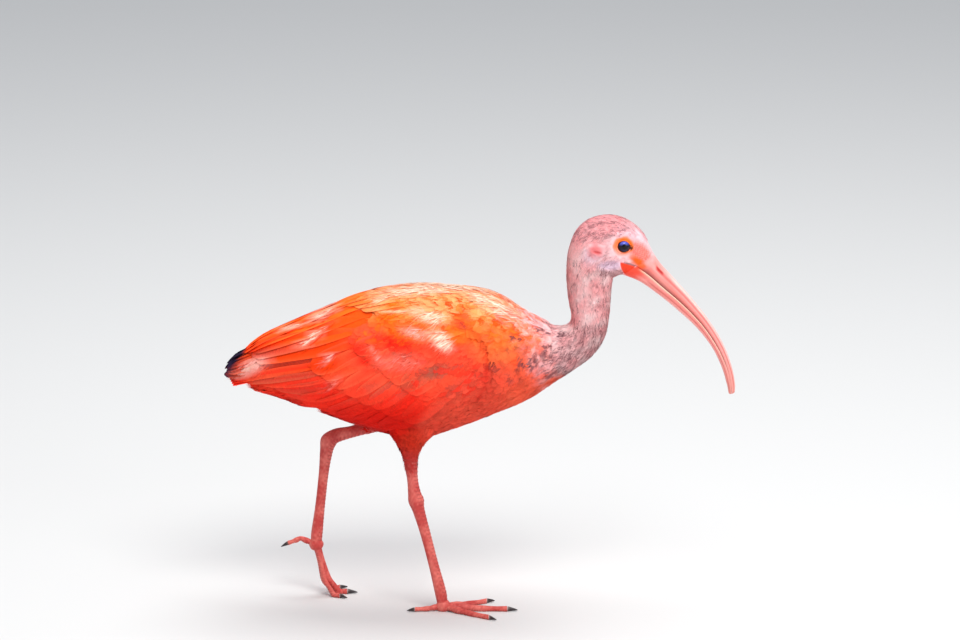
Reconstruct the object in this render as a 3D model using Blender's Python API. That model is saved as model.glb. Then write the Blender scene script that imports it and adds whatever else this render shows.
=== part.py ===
"""A scarlet ibis at life size, walking.

The bird faces +X, its left side is towards +Y and +Z is up. It stands on the whole of its right foot
and on the toe ends of its left foot, whose heel is lifted. Torso, neck and head follow one run of
cross-sections, and each leg another, and they are parted by thin flat cuts. The wings and the tail
carry their feathers as overlapping vanes.

Sizes and places are in millimetres, from the middle of the bird's length and width at the floor. MM
turns them into Blender's metres where a mesh is made.
"""

import math
import random
from collections import namedtuple

import bmesh
import bpy
from mathutils import Vector

MM = 0.001
GAP = 0.3  # between pieces that touch

# A cross-section of the bird's middle plane: its upper or rear end, its lower or front end, and how
# far it reaches to each side.
Section = namedtuple("Section", "back_x back_z front_x front_z half_width")

# From the rump forward to the breast, up the neck, and round the skull to the bill.
BODY = (
    Section(-140, 250, -140, 174.5, 33),
    Section(-110, 267.5, -110, 164, 44),
    Section(-80, 277, -80, 155.5, 50),
    Section(-50, 281, -50, 153, 52.5),
    Section(-20, 280, -20, 162, 51.5),
    Section(10, 274.5, 10, 173.5, 47.5),
    Section(40, 261.5, 40, 186.5, 39.5),
    Section(61, 251, 61, 200.5, 29.5),
    Section(74, 251.5, 79, 212, 23),
    Section(78.5, 259, 96, 224.5, 18.8),
    Section(76.5, 271, 107, 241, 17.2),
    Section(74.5, 286, 111, 262, 16.8),
    Section(74, 302, 112.5, 284, 16.4),
    Section(75.5, 318, 114, 294, 16.2),
    Section(82, 336, 116.5, 296, 16.6),
    Section(94, 346.5, 118.3, 297, 17.2),
    Section(110, 350, 119.6, 297.5, 17.2),
    Section(126, 346, 120.6, 297.7, 15.8),
    Section(139.5, 335, 121.3, 297.7, 13),
    Section(147.5, 319, 122, 297.5, 9.8),
)
NECK_ROOT, NECK_MIDDLE, NECK_TOP, BILL_ROOT = 8, 11, 13, 19  # where BODY is parted
FULLNESS = 2.1  # 2 makes a section an ellipse, more fills its corners

# The outer face of the folded wings, at every 30 mm from behind the tail to the shoulder.
WING_SHAPE = (
    Section(-230, 207, -230, 200, 5),
    Section(-200, 234.5, -200, 194, 20),
    Section(-170, 251, -170, 186, 33),
    Section(-140, 264.5, -140, 173.5, 45),
    Section(-110, 277.5, -110, 163.5, 53),
    Section(-80, 285, -80, 155, 58),
    Section(-50, 287.5, -50, 152.5, 60),
    Section(-20, 285.5, -20, 162, 58.5),
    Section(10, 280, 10, 173.5, 54),
    Section(40, 264, 40, 186.5, 43),
)
STATION_STEP = 30

# The bill: culmen and lower edge, half width at the mouth, and the mouth's place from culmen (0) to
# lower edge (1).
BillSection = namedtuple("BillSection", Section._fields + ("mouth",))
BILL = (
    BillSection(147.5, 319, 122, 297.5, 9.8, 0.56),
    BillSection(154.5, 308, 137.5, 291, 7.6, 0.57),
    BillSection(166, 295, 153.5, 279.5, 6.0, 0.59),
    BillSection(181, 278, 171, 265, 4.9, 0.56),
    BillSection(197.5, 256.7, 188.5, 248.2, 4.3, 0.55),
    BillSection(210, 236, 201.6, 230.6, 3.9, 0.57),
    BillSection(217.8, 216, 209.6, 213.6, 3.5, 0.53),
    BillSection(221.2, 200, 213.9, 199.2, 3.0, 0.54),
    BillSection(220.3, 190.2, 217.2, 189.9, 1.2, 0.54),
)
MOUTH_GAP = 0.6
MOUTH_GAP_MORE = 0.5  # added a quarter of the way along, where the bill stands slightly open

EYE_PLACE = Vector((123.6, 11.6, 326.3))  # of the left eye; the right one is mirrored
EYE_RADIUS = 6.2
LID_RADIUS = 5.5
LID_THICKNESS = 1.0
LID_OUTWARD = 3.6  # from the eye's centre
NOSTRIL_PLACE = Vector((155.2, 5.4, 300.6))
NOSTRIL_SIZE = Vector((3.4, 1.6, 0.8))
NOSTRIL_TILT = 47  # degrees down from level
MOUTH_CORNER = Vector((126.0, 0.0, 310.5))

# A leg's ring: its centre, and its half sizes fore and aft and to the sides.
LegStation = namedtuple("LegStation", "x y z half_depth half_width")
FOOT_SPREAD = 25  # of each foot from the middle plane
RIGHT_LEG = (
    LegStation(-60, -24, 185, 24, 15),
    LegStation(-61, -25, 166, 22, 14.5),
    LegStation(-62, -26, 153, 12.8, 10.5),
    LegStation(-62, -26, 142, 7.2, 7),
    LegStation(-61.3, -26, 132, 5.4, 5.2),
    LegStation(-60, -25.5, 118, 4.7, 4.5),
    LegStation(-58.6, -25, 107, 5.6, 5.2),
    LegStation(-57, -25, 100, 6.8, 5.9),
    LegStation(-54.8, -25, 91, 5.2, 4.6),
    LegStation(-49, -25, 70, 4.4, 3.7),
    LegStation(-42, -25, 42, 4.3, 3.6),
    LegStation(-36.2, -25, 18, 5.0, 4.4),
    LegStation(-34.4, -25, 7.5, 4.6, 4.6),
)
LEFT_LEG = (
    LegStation(-44, 24, 184, 22, 15),
    LegStation(-60, 25, 173, 20, 14.5),
    LegStation(-74, 26, 165, 14.5, 11),
    LegStation(-87, 26, 159, 9, 8),
    LegStation(-98, 25.5, 154.3, 6.4, 6),
    LegStation(-113, 25, 149.3, 5.2, 4.8),
    LegStation(-127.5, 25, 145.6, 6.2, 5.2),
    LegStation(-134.5, 25, 140.5, 7.2, 5.9),
    LegStation(-136.6, 25, 131, 5.6, 4.6),
    LegStation(-139, 25, 112, 4.3, 3.7),
    LegStation(-142.4, 25, 82, 4.2, 3.6),
    LegStation(-145.4, 25, 57, 5.0, 4.4),
    LegStation(-146.2, 25, 47.5, 4.6, 4.6),
)
THIGH_END, SHANK_END, TARSUS_END = 4, 7, 11  # where each leg is parted

# A toe: its heading in degrees from straight ahead towards the bird's inner side, its length to the
# claw, its claw's length and its half width.
Toe = namedtuple("Toe", "name heading length claw half_width")
TOES = (
    Toe("inner", 30, 44, 8, 3.0),
    Toe("middle", -2, 56, 9, 3.2),
    Toe("outer", -34, 48, 8, 3.0),
    Toe("hind", 188, 25, 7, 2.7),
)
TOE_LEVEL = 2.2  # height of a toe's middle line above the floor
TOE_JOINTS = 3
TOE_SIDES = 8
CLAW_STEPS = 3
CLAW_DROP = 1.0
HEEL_HEIGHT = 46  # of the left foot's toe roots
FOOT_PAD = Vector((6.5, 6.0, 6.0))

# A row of feathers on a wing: how many, where the first and the last have root and tip, in distance
# along the bird and in degrees round the body from its top, and how wide they are. Lift is the height
# over the wing's surface at root and tip.
Row = namedtuple("Row", "count first_root first_tip last_root last_tip width lift")
FEATHER_ROWS = (
    # the primaries, under all the others, reach out over the tail
    Row(4, (-112, 54), (-208, 36), (-104, 84), (-222, 66), 12, (-3.6, -3.0)),
    # the secondaries
    Row(7, (-116, 65), (-195, 87), (-44, 98), (-98, 130), 19, (-3.6, 0.0)),
    # the tertials
    Row(5, (-92, 14), (-200, 22), (-98, 56), (-202, 74), 19, (-3.6, 0.7)),
    # the greater coverts
    Row(7, (-94, 64), (-148, 80), (-20, 90), (-68, 122), 19, (-3.4, 0.4)),
    # the median coverts
    Row(5, (-60, 60), (-108, 70), (0, 84), (-40, 108), 19, (-3.4, 0.7)),
    # the scapulars, along the back
    Row(5, (-60, 11), (-128, 14), (-10, 45), (-64, 57), 22, (-3.4, 0.7)),
)
VANE_STATIONS = ((0.0, 0.6), (0.38, 1.0), (0.8, 0.88), (1.0, 0.22))
VANE_THICKNESS = 0.7
VANE_EDGE_THICKNESS = 0.55
VANE_ROLL = 0.15  # height gained for each millimetre across, so that neighbours overlap
VANE_CAMBER = 0.005  # each millimetre squared from the shaft
FEATHER_SEED = 5
WING_COVER = 2.2  # depth of the feather rows over the wing's core
WING_FRONT, WING_BACK = 36, -137
WING_TOP, WING_LOW_FRONT, WING_LOW_BACK = 7, 106, 112  # degrees from the top of the back
CORE_SINK = 4  # of the core's inner face, cut away later along the torso
CORE_EDGE = 0.9  # thickness of the core's rim

TAIL_PAIRS = 6
TAIL_ROOT_X, TAIL_TIP_X = -142.5, -222
TAIL_ROOT_Z, TAIL_TIP_Z = 219, 209
TAIL_HALF_WIDTH = 23
TAIL_VANE_WIDTH = 14
TAIL_LAYER = 1.1
TAIL_CORE = (
    Section(-140.3, 247, -140.3, 176.5, 30),
    Section(-156, 232, -156, 179.5, 23.5),
    Section(-174, 221, -174, 186.5, 18),
    Section(-192, 212, -192, 192.5, 12),
    Section(-203, 207, -203, 197, 6),
)

TORSO_SIDES, NECK_SIDES, LEG_SIDES, BILL_ARC = 32, 24, 12, 8

Ring = namedtuple("Ring", "points normal")
SIDE = Vector((0, 1, 0))


def catmull(a, b, c, d, f):
    """The value at share f from b to c of a smooth curve through a, b, c and d."""
    return 0.5 * (
        2 * b + (c - a) * f + (2 * a - 5 * b + 4 * c - d) * f * f + (3 * b - a - 3 * c + d) * f**3
    )


def station_at(run, t):
    """A station between those of a run, at t counted in stations."""
    i = min(max(int(t), 0), len(run) - 2)
    before = run[i - 1] if i else [2 * b - c for b, c in zip(run[0], run[1])]
    after = run[i + 2] if i + 2 < len(run) else [2 * c - b for b, c in zip(run[-2], run[-1])]
    return type(run[0])(*(catmull(*four, t - i) for four in zip(before, run[i], run[i + 1], after)))


def superellipse(angle):
    """(upward, sideways) share of the half sizes at an angle from the top."""
    up, side = math.cos(angle), math.sin(angle)
    power = 2 / FULLNESS
    return math.copysign(abs(up) ** power, up), math.copysign(abs(side) ** power, side)


def section_point(section, angle, grow=0.0):
    """A point of a section's outline, which may be grown by a distance."""
    back = Vector((section.back_x, 0, section.back_z))
    front = Vector((section.front_x, 0, section.front_z))
    up = (back - front) / 2
    upward, sideways = superellipse(angle)
    rise = up.normalized() * (up.length + grow) * upward
    return (back + front) / 2 + rise + SIDE * (section.half_width + grow) * sideways


def section_ring(section, sides, grow=0.0):
    points = [section_point(section, 2 * math.pi * i / sides, grow) for i in range(sides)]
    along = Vector((section.front_x - section.back_x, 0, section.front_z - section.back_z))
    return Ring(points, along.cross(SIDE).normalized())


def steps_between(first, last, per_station):
    """Places from first to last, per_station of them for each station."""
    count = max(1, round((last - first) * per_station))
    return [first + (last - first) * i / count for i in range(count + 1)]


def material(name, colour, roughness):
    """A plain material; one of that name that exists is used again."""
    found = bpy.data.materials.get(name)
    if found:
        return found
    made = bpy.data.materials.new(name)
    made.use_nodes = True
    shader = made.node_tree.nodes["Principled BSDF"]
    shader.inputs["Base Color"].default_value = (*colour, 1.0)
    shader.inputs["Roughness"].default_value = roughness
    shader.inputs["Metallic"].default_value = 0.0
    return made


def plumage():
    return material("scarlet_plumage", (0.82, 0.07, 0.02), 0.7)


def neck_plumage():
    return material("speckled_pink_plumage", (0.72, 0.30, 0.26), 0.75)


def bill_horn():
    return material("pink_bill", (0.80, 0.26, 0.20), 0.45)


def leg_skin():
    return material("red_leg_skin", (0.60, 0.10, 0.09), 0.5)


def claw_horn():
    return material("dark_claw", (0.07, 0.05, 0.05), 0.4)


def eye_gloss():
    return material("dark_eye", (0.02, 0.02, 0.04), 0.08)


def new_object(name, mesh, surface):
    """A shaded object from a bmesh in millimetres, with its faces pointing out."""
    bmesh.ops.recalc_face_normals(mesh, faces=mesh.faces[:])
    for vertex in mesh.verts:
        vertex.co *= MM
    data = bpy.data.meshes.new(name)
    mesh.to_mesh(data)
    mesh.free()
    data.materials.append(surface)
    data.shade_smooth()
    data.set_sharp_from_angle(angle=math.radians(40))
    made = bpy.data.objects.new(name, data)
    bpy.context.scene.collection.objects.link(made)
    return made


def loft(name, loops, surface):
    """A closed solid through loops of points, with flat ends."""
    mesh = bmesh.new()
    rows = [[mesh.verts.new(point) for point in loop] for loop in loops]
    sides = len(rows[0])
    for near, far in zip(rows, rows[1:]):
        for i in range(sides):
            j = (i + 1) % sides
            mesh.faces.new((near[i], near[j], far[j], far[i]))
    mesh.faces.new(rows[0])
    mesh.faces.new(rows[-1])
    return new_object(name, mesh, surface)


def parted_loft(name, rings, surface, cut_behind=False):
    """A loft of rings. cut_behind moves its first ring forward by the gap to the piece behind."""
    loops = [ring.points for ring in rings]
    if cut_behind:
        loops[0] = [point + rings[0].normal * GAP for point in loops[0]]
    return loft(name, loops, surface)


def with_modifier(target, other, operation, solver="EXACT"):
    """target after a Boolean with an object or a list of objects, which are then removed."""
    helper = bpy.data.collections.new("joining")
    others = list(other) if isinstance(other, list) else [other]
    for piece in others:
        helper.objects.link(piece)
    modifier = target.modifiers.new("join", "BOOLEAN")
    modifier.operation = operation
    modifier.solver = solver
    modifier.operand_type = "COLLECTION"
    modifier.collection = helper
    bpy.context.view_layer.update()
    graph = bpy.context.evaluated_depsgraph_get()
    joined = bpy.data.meshes.new_from_object(target.evaluated_get(graph))
    target.modifiers.clear()
    target.data = joined
    for piece in others:
        bpy.data.objects.remove(piece)
    bpy.data.collections.remove(helper)
    return target


def keep_largest_surface(target):
    """Drops every closed surface of a mesh but the one that holds the most."""
    mesh = bmesh.new()
    mesh.from_mesh(target.data)
    bmesh.ops.triangulate(mesh, faces=mesh.faces[:])
    unseen = set(mesh.faces)
    surfaces = []
    while unseen:
        front = [unseen.pop()]
        found = set(front)
        while front:
            face = front.pop()
            for edge in face.edges:
                fresh = [other for other in edge.link_faces if other in unseen]
                unseen.difference_update(fresh)
                found.update(fresh)
                front.extend(fresh)
        surfaces.append(found)

    def volume(faces):
        corners = ([vertex.co for vertex in face.verts] for face in faces)
        return abs(sum(a.dot(b.cross(c)) for a, b, c in corners))

    surfaces.sort(key=volume)
    loose = [face for surface in surfaces[:-1] for face in surface]
    bmesh.ops.delete(mesh, geom=loose, context="FACES")
    mesh.to_mesh(target.data)
    mesh.free()
    target.data.shade_smooth()
    target.data.set_sharp_from_angle(angle=math.radians(40))
    return target


def ball(name, centre, radii, surface, segments=20, rings=12, floor=None):
    """An ellipsoid. What would reach under the floor is laid flat on it."""
    mesh = bmesh.new()
    bmesh.ops.create_uvsphere(mesh, u_segments=segments, v_segments=rings, radius=1.0)
    for vertex in mesh.verts:
        vertex.co = centre + Vector(a * b for a, b in zip(vertex.co, radii))
        if floor is not None:
            vertex.co.z = max(vertex.co.z, floor)
    return new_object(name, mesh, surface)


def body_rings(first, last, per_station, sides, grow=0.0):
    places = steps_between(first, last, per_station)
    return [section_ring(station_at(BODY, t), sides, grow) for t in places]


def make_torso():
    return parted_loft("torso", body_rings(0, NECK_ROOT, 2, TORSO_SIDES), plumage())


def torso_cutter():
    """The torso grown by the gap and lengthened, to cut what lies on it."""
    rings = body_rings(0, NECK_ROOT, 2, TORSO_SIDES, GAP)
    return parted_loft("torso_cutter", rings, plumage())


def make_neck():
    lower = body_rings(NECK_ROOT, NECK_MIDDLE, 3, NECK_SIDES)
    upper = body_rings(NECK_MIDDLE, NECK_TOP, 3, NECK_SIDES)
    parted_loft("neck_lower", lower, neck_plumage(), cut_behind=True)
    parted_loft("neck_upper", upper, neck_plumage(), cut_behind=True)


def mirrored(place, side):
    return Vector((place.x, place.y * side, place.z))


def lid_ring(side):
    """The rim of both lids round one eye."""
    mesh = bmesh.new()
    around, across = 16, 5
    centre = mirrored(EYE_PLACE + SIDE * LID_OUTWARD, side)
    rows = []
    for i in range(around):
        turn = 2 * math.pi * i / around
        out = Vector((math.cos(turn), 0, math.sin(turn)))
        row = []
        for j in range(across):
            roll = 2 * math.pi * j / across
            reach = LID_RADIUS + LID_THICKNESS * math.cos(roll)
            row.append(mesh.verts.new(centre + out * reach + SIDE * LID_THICKNESS * math.sin(roll)))
        rows.append(row)
    for i in range(around):
        near, far = rows[i], rows[(i + 1) % around]
        for j in range(across):
            k = (j + 1) % across
            mesh.faces.new((near[j], near[k], far[k], far[j]))
    return new_object("lid", mesh, neck_plumage())


def slab(name, centre, size, tilt, surface):
    """A box tilted about the side axis by some degrees, nose down."""
    mesh = bmesh.new()
    bmesh.ops.create_cube(mesh, size=1.0)
    turn = math.radians(tilt)
    along = Vector((math.cos(turn), 0, -math.sin(turn)))
    across = Vector((math.sin(turn), 0, math.cos(turn)))
    for vertex in mesh.verts:
        a, b, c = (v * s for v, s in zip(vertex.co, size))
        vertex.co = centre + along * a + SIDE * b + across * c
    return new_object(name, mesh, surface)


def make_head():
    rings = body_rings(NECK_TOP, BILL_ROOT, 2, NECK_SIDES)
    head = parted_loft("head", rings, neck_plumage(), cut_behind=True)
    with_modifier(head, [lid_ring(1), lid_ring(-1)], "UNION")
    socket = Vector((EYE_RADIUS + GAP,) * 3)
    sockets = [
        ball("socket", mirrored(EYE_PLACE, side), socket, neck_plumage(), 14, 9) for side in (1, -1)
    ]
    with_modifier(head, sockets, "DIFFERENCE")
    # The mouth runs on behind the bill's root as a slot to its corner.
    root = station_at(BILL, 0)
    back = Vector((root.back_x, 0, root.back_z))
    front = Vector((root.front_x, 0, root.front_z))
    mouth = back.lerp(front, root.mouth)
    slot = mouth - MOUTH_CORNER
    tilt = math.degrees(math.atan2(-slot.z, slot.x))
    width = 4 * root.half_width
    cutter = slab("mouth", mouth, (2 * slot.length, width, MOUTH_GAP), tilt, neck_plumage())
    with_modifier(head, cutter, "DIFFERENCE")
    keep_largest_surface(head)


def make_eyes():
    radii = Vector((EYE_RADIUS,) * 3)
    for name, side in (("eye_left", 1), ("eye_right", -1)):
        ball(name, mirrored(EYE_PLACE, side), radii, eye_gloss(), 16, 10)


def bill_loop(section, share, upward):
    """The outline of one mandible: an arch over the mouth, or one hanging under it."""
    back = Vector((section.back_x, 0, section.back_z))
    front = Vector((section.front_x, 0, section.front_z))
    mouth = back.lerp(front, section.mouth)
    edge = back if upward else front
    out = (edge - mouth).normalized()
    start = (MOUTH_GAP + MOUTH_GAP_MORE * math.sin(math.pi * min(1.0, 2 * share))) / 2
    height = (edge - mouth).length - start
    loop = []
    for i in range(BILL_ARC + 1):
        turn = math.pi * i / BILL_ARC
        rise = out * (start + height * math.sin(turn) ** 0.9)
        loop.append(mouth + rise + SIDE * section.half_width * math.cos(turn))
    return loop


def make_bill():
    root = section_ring(Section(*BILL[0][:5]), NECK_SIDES)
    places = steps_between(0, len(BILL) - 1, 2)
    for name, upward in (("bill_upper", True), ("bill_lower", False)):
        loops = [bill_loop(station_at(BILL, t), t / (len(BILL) - 1), upward) for t in places]
        loops[0] = [point + root.normal * GAP for point in loops[0]]
        bill = loft(name, loops, bill_horn())
        if upward:
            slits = [nostril_slit(side) for side in (1, -1)]
            with_modifier(bill, slits, "DIFFERENCE")
            keep_largest_surface(bill)


def nostril_slit(side):
    slit = ball("slit", Vector((0, 0, 0)), NOSTRIL_SIZE, bill_horn(), 10, 6)
    slit.rotation_euler = (0, math.radians(NOSTRIL_TILT), 0)
    slit.location = mirrored(NOSTRIL_PLACE, side) * MM
    return slit


def tube_rings(stations, sides, across, floor=None):
    """Rings round a run of leg or toe stations. Points under the floor are laid on it."""
    rings = []
    for t, here in enumerate(stations):
        ahead = station_at(stations, min(t + 0.1, len(stations) - 1))
        behind = station_at(stations, max(t - 0.1, 0))
        centre = Vector(here[:3])
        normal = (Vector(ahead[:3]) - Vector(behind[:3])).normalized()
        deep = normal.cross(across).normalized()
        points = []
        for i in range(sides):
            turn = 2 * math.pi * (i + 0.5) / sides
            point = centre + deep * here.half_depth * math.cos(turn)
            point += across * here.half_width * math.sin(turn)
            if floor is not None:
                point.z = max(point.z, floor)
            points.append(point)
        rings.append(Ring(points, normal))
    return rings


def make_leg(side_name, stations):
    """Thigh, shank and tarsus of one leg. The thigh is cut off along the torso."""
    rings = tube_rings(stations, LEG_SIDES, SIDE)
    thigh = parted_loft(f"thigh_{side_name}", rings[: THIGH_END + 1], plumage())
    with_modifier(thigh, torso_cutter(), "DIFFERENCE")
    keep_largest_surface(thigh)
    shank = rings[THIGH_END : SHANK_END + 1]
    parted_loft(f"shank_{side_name}", shank, leg_skin(), cut_behind=True)
    tarsus = rings[SHANK_END : TARSUS_END + 1]
    parted_loft(f"tarsus_{side_name}", tarsus, leg_skin(), cut_behind=True)
    return rings[TARSUS_END:]


def toe_profile(toe, root_height):
    """(distance ahead of the toe's root, height) pairs down a toe, from its root to its claw."""
    if toe.name == "hind" and root_height > HEEL_HEIGHT / 2:
        # lifted, it arches back and hangs free
        return [(0, root_height), (14, root_height + 4.5), (toe.length, root_height)]
    if root_height <= HEEL_HEIGHT / 2:
        knuckle = toe.length * 0.3
        return [(0, root_height), (knuckle, TOE_LEVEL + 1), (toe.length * 0.6, TOE_LEVEL),
                (toe.length, TOE_LEVEL)]
    bend = (0.17 * toe.length, 0.33 * root_height)
    touch = (bend[0] + 0.22 * root_height, TOE_LEVEL)
    used = math.dist((0, root_height), bend) + math.dist(bend, touch)
    end = (touch[0] + max(6.0, toe.length - used), TOE_LEVEL)
    return [(0, root_height), bend, touch, end]


def toe_stations(toe, root, ahead):
    """Leg stations down a toe that leaves its root in the direction ahead."""
    profile = toe_profile(toe, root.z)
    count = 2 * TOE_JOINTS + 1
    stations = []
    for i in range(count):
        share = i / (count - 1)
        t = share * (len(profile) - 1)
        bone = int(min(t, len(profile) - 2))
        before, after = profile[bone], profile[bone + 1]
        part = t - bone
        reach = before[0] + (after[0] - before[0]) * part
        height = before[1] + (after[1] - before[1]) * part
        swell = 1.0 + 0.1 * (-1) ** i  # each joint is thicker than the bone between
        size = toe.half_width * (1.06 - 0.36 * share) * swell
        place = Vector((root.x, root.y, 0)) + ahead * reach
        stations.append(LegStation(place.x, place.y, height, size, size))
    return stations


def make_claw(name, ring, length, drop):
    """A curved claw that goes on from a toe's last ring and drops by a distance to its tip."""
    centre = sum(ring.points, Vector()) / len(ring.points)
    loops = []
    for i in range(CLAW_STEPS + 1):
        share = i / CLAW_STEPS
        size = 0.86 * (1 - share) ** 0.8 + 0.1
        middle = centre + ring.normal * (GAP + length * share)
        middle.z -= drop * share**1.6
        loops.append([middle + (point - centre) * size for point in ring.points])
    return loft(name, loops, claw_horn())


def make_foot(side_name, ankle_rings, root, inward):
    """Foot pad with its four toes as one node, and a claw for each toe."""
    stub = parted_loft("stub", ankle_rings, leg_skin(), cut_behind=True)
    pieces = [ball("pad", root, FOOT_PAD, leg_skin(), 12, 8, floor=0.0)]
    for toe in TOES:
        heading = math.radians(toe.heading * inward)
        ahead = Vector((math.cos(heading), math.sin(heading), 0))
        across = Vector((-ahead.y, ahead.x, 0))
        rings = tube_rings(toe_stations(toe, root, ahead), TOE_SIDES, across, floor=0.0)
        pieces.append(parted_loft("toe", rings, leg_skin()))
        make_claw(f"claw_{toe.name}_{side_name}", rings[-1], toe.claw, CLAW_DROP)
    stub.name = f"foot_{side_name}"
    with_modifier(stub, pieces, "UNION")
    keep_largest_surface(stub)


def wing_place(x, degrees, side, lift=0.0):
    """A point of the folded wing's outer face, lifted over it. side is 1 for the left wing."""
    t = (x - WING_SHAPE[0].back_x) / STATION_STEP
    return section_point(station_at(WING_SHAPE, t), side * math.radians(degrees), lift)


def wing_normal(x, degrees, side):
    step = 1.0
    along = wing_place(x + step, degrees, side) - wing_place(x - step, degrees, side)
    around = wing_place(x, degrees + step, side) - wing_place(x, degrees - step, side)
    return (along.cross(around) * side).normalized()


def vane(rows_of_points):
    """A closed thin vane from rows of (upper, lower) points, split alike on both faces."""
    mesh = bmesh.new()
    tops = [[mesh.verts.new(upper) for upper, lower in row] for row in rows_of_points]
    unders = [[mesh.verts.new(lower) for upper, lower in row] for row in rows_of_points]
    last = len(tops[0]) - 1
    for i in range(len(tops) - 1):
        for j in range(last):
            for sheet in (tops, unders):
                a, b, c, d = sheet[i][j], sheet[i][j + 1], sheet[i + 1][j + 1], sheet[i + 1][j]
                mesh.faces.new((a, b, c))
                mesh.faces.new((a, c, d))
        for j in (0, last):
            a, b, c, d = tops[i][j], tops[i + 1][j], unders[i + 1][j], unders[i][j]
            mesh.faces.new((a, b, c))
            mesh.faces.new((a, c, d))
    for i in (0, len(tops) - 1):
        for j in range(last):
            a, b, c, d = tops[i][j], tops[i][j + 1], unders[i][j + 1], unders[i][j]
            mesh.faces.new((a, b, c))
            mesh.faces.new((a, c, d))
    return new_object("vane", mesh, plumage())


def wing_vane(root, tip, width, lift, side):
    """One feather lying on the wing from root to tip, each an (x, degrees) pair."""
    rows = []
    for share, fullness in VANE_STATIONS:
        x = root[0] + (tip[0] - root[0]) * share
        degrees = root[1] + (tip[1] - root[1]) * share
        nearer = (x - (tip[0] - root[0]) * 0.02, degrees - (tip[1] - root[1]) * 0.02)
        middle = wing_place(x, degrees, side)
        along = (middle - wing_place(*nearer, side)).normalized()
        normal = wing_normal(x, degrees, side)
        across = along.cross(normal).normalized() * side
        row = []
        for edge in (-1, 0, 1):
            reach = edge * fullness * width / 2
            height = lift[0] + (lift[1] - lift[0]) * share + VANE_ROLL * reach - VANE_CAMBER * reach**2
            thickness = VANE_THICKNESS if edge == 0 else VANE_EDGE_THICKNESS
            upper = middle + across * reach + normal * height
            lower = upper - normal * thickness
            # none crosses the bird's middle plane into the other wing
            for point in (upper, lower):
                point.y = side * max(side * point.y, GAP)
            row.append((upper, lower))
        rows.append(row)
    return vane(rows)


def wing_core(side):
    """The wing's body: a thick shell over the torso's flank, thin at its rim."""
    mesh = bmesh.new()
    across_count, along_count = 8, 11
    outer, inner = [], []
    for i in range(along_count + 1):
        share = i / along_count
        x = WING_FRONT + (WING_BACK - WING_FRONT) * share
        # the wrist at the front is round in outline
        rounding = math.sqrt(max(0.0, 1 - (1 - min(1.0, share / 0.22)) ** 2))
        low = WING_LOW_FRONT + (WING_LOW_BACK - WING_LOW_FRONT) * share
        middle = 56
        torso = station_at(BODY, (x - BODY[0].back_x) / STATION_STEP)
        outer_row, inner_row = [], []
        for j in range(across_count + 1):
            part = j / across_count
            straight = WING_TOP + (low - WING_TOP) * part
            degrees = middle + (straight - middle) * (0.5 + 0.5 * rounding)
            angle = side * math.radians(degrees)
            rim = section_point(torso, angle, GAP + CORE_EDGE)
            full = wing_place(x, degrees, side, -WING_COVER)
            swell = min(1.0, 5 * part, 5 * (1 - part), 6 * share, 4 * (1 - share))
            outer_row.append(mesh.verts.new(rim.lerp(full, math.sin(swell * math.pi / 2))))
            inner_row.append(mesh.verts.new(section_point(torso, angle, -CORE_SINK)))
        outer.append(outer_row)
        inner.append(inner_row)
    for i in range(along_count):
        for j in range(across_count):
            for sheet in (outer, inner):
                mesh.faces.new((sheet[i][j], sheet[i][j + 1], sheet[i + 1][j + 1], sheet[i + 1][j]))
        for j in (0, across_count):
            mesh.faces.new((outer[i][j], outer[i + 1][j], inner[i + 1][j], inner[i][j]))
    for i in (0, along_count):
        for j in range(across_count):
            mesh.faces.new((outer[i][j], outer[i][j + 1], inner[i][j + 1], inner[i][j]))
    return new_object("core", mesh, plumage())


def between(first, last, share):
    return tuple(a + (b - a) * share for a, b in zip(first, last))


def make_wing(name, side):
    """One folded wing: its core, with every row of feathers joined to it."""
    wing = wing_core(side)
    wing.name = name
    draw = random.Random(FEATHER_SEED)
    vanes = []
    for row in FEATHER_ROWS:
        for i in range(row.count):
            share = i / (row.count - 1)
            root = between(row.first_root, row.last_root, share)
            tip = between(row.first_tip, row.last_tip, share)
            tip = (tip[0] + draw.uniform(-2, 2), tip[1] + draw.uniform(-1, 1))
            width = row.width * draw.uniform(0.94, 1.06)
            vanes.append(wing_vane(root, tip, width, row.lift, side))
    with_modifier(wing, vanes, "UNION", "MANIFOLD")
    with_modifier(wing, torso_cutter(), "DIFFERENCE", "MANIFOLD")
    keep_largest_surface(wing)


def tail_vane(offset, layer):
    """One tail feather. offset is its tip's distance from the middle plane, layer its depth."""
    side = 1 if offset > 0 else -1
    rows = []
    for share, fullness in VANE_STATIONS:
        x = TAIL_ROOT_X + (TAIL_TIP_X + 0.4 * abs(offset) - TAIL_ROOT_X) * share
        z = TAIL_ROOT_Z + (TAIL_TIP_Z - TAIL_ROOT_Z) * share - layer * TAIL_LAYER * (0.4 + 0.6 * share)
        middle = offset * (0.35 + 0.65 * share)
        row = []
        for edge in (-1, 0, 1):
            y = middle + edge * fullness * TAIL_VANE_WIDTH / 2
            if layer > 1:
                y = side * max(side * y, GAP)
            sag = 0.004 * (y - middle) ** 2
            row.append((Vector((x, y, z - sag)), Vector((x, y, z - sag - 0.75))))
        rows.append(row)
    return vane(rows)


def make_tail():
    """Tail coverts as one wedge, with six pairs of tail feathers joined to it."""
    rings = [section_ring(section, 20) for section in reversed(TAIL_CORE)]
    tail = parted_loft("tail", rings, plumage())
    pitch = (TAIL_HALF_WIDTH - TAIL_VANE_WIDTH / 2) / TAIL_PAIRS
    vanes = []
    for pair in range(TAIL_PAIRS):
        for side in (1, -1):
            layer = pair + 1 if pair else (0 if side > 0 else 1)
            vanes.append(tail_vane(side * pitch * (pair + 0.6), layer))
    with_modifier(tail, vanes, "UNION", "MANIFOLD")
    keep_largest_surface(tail)


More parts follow.
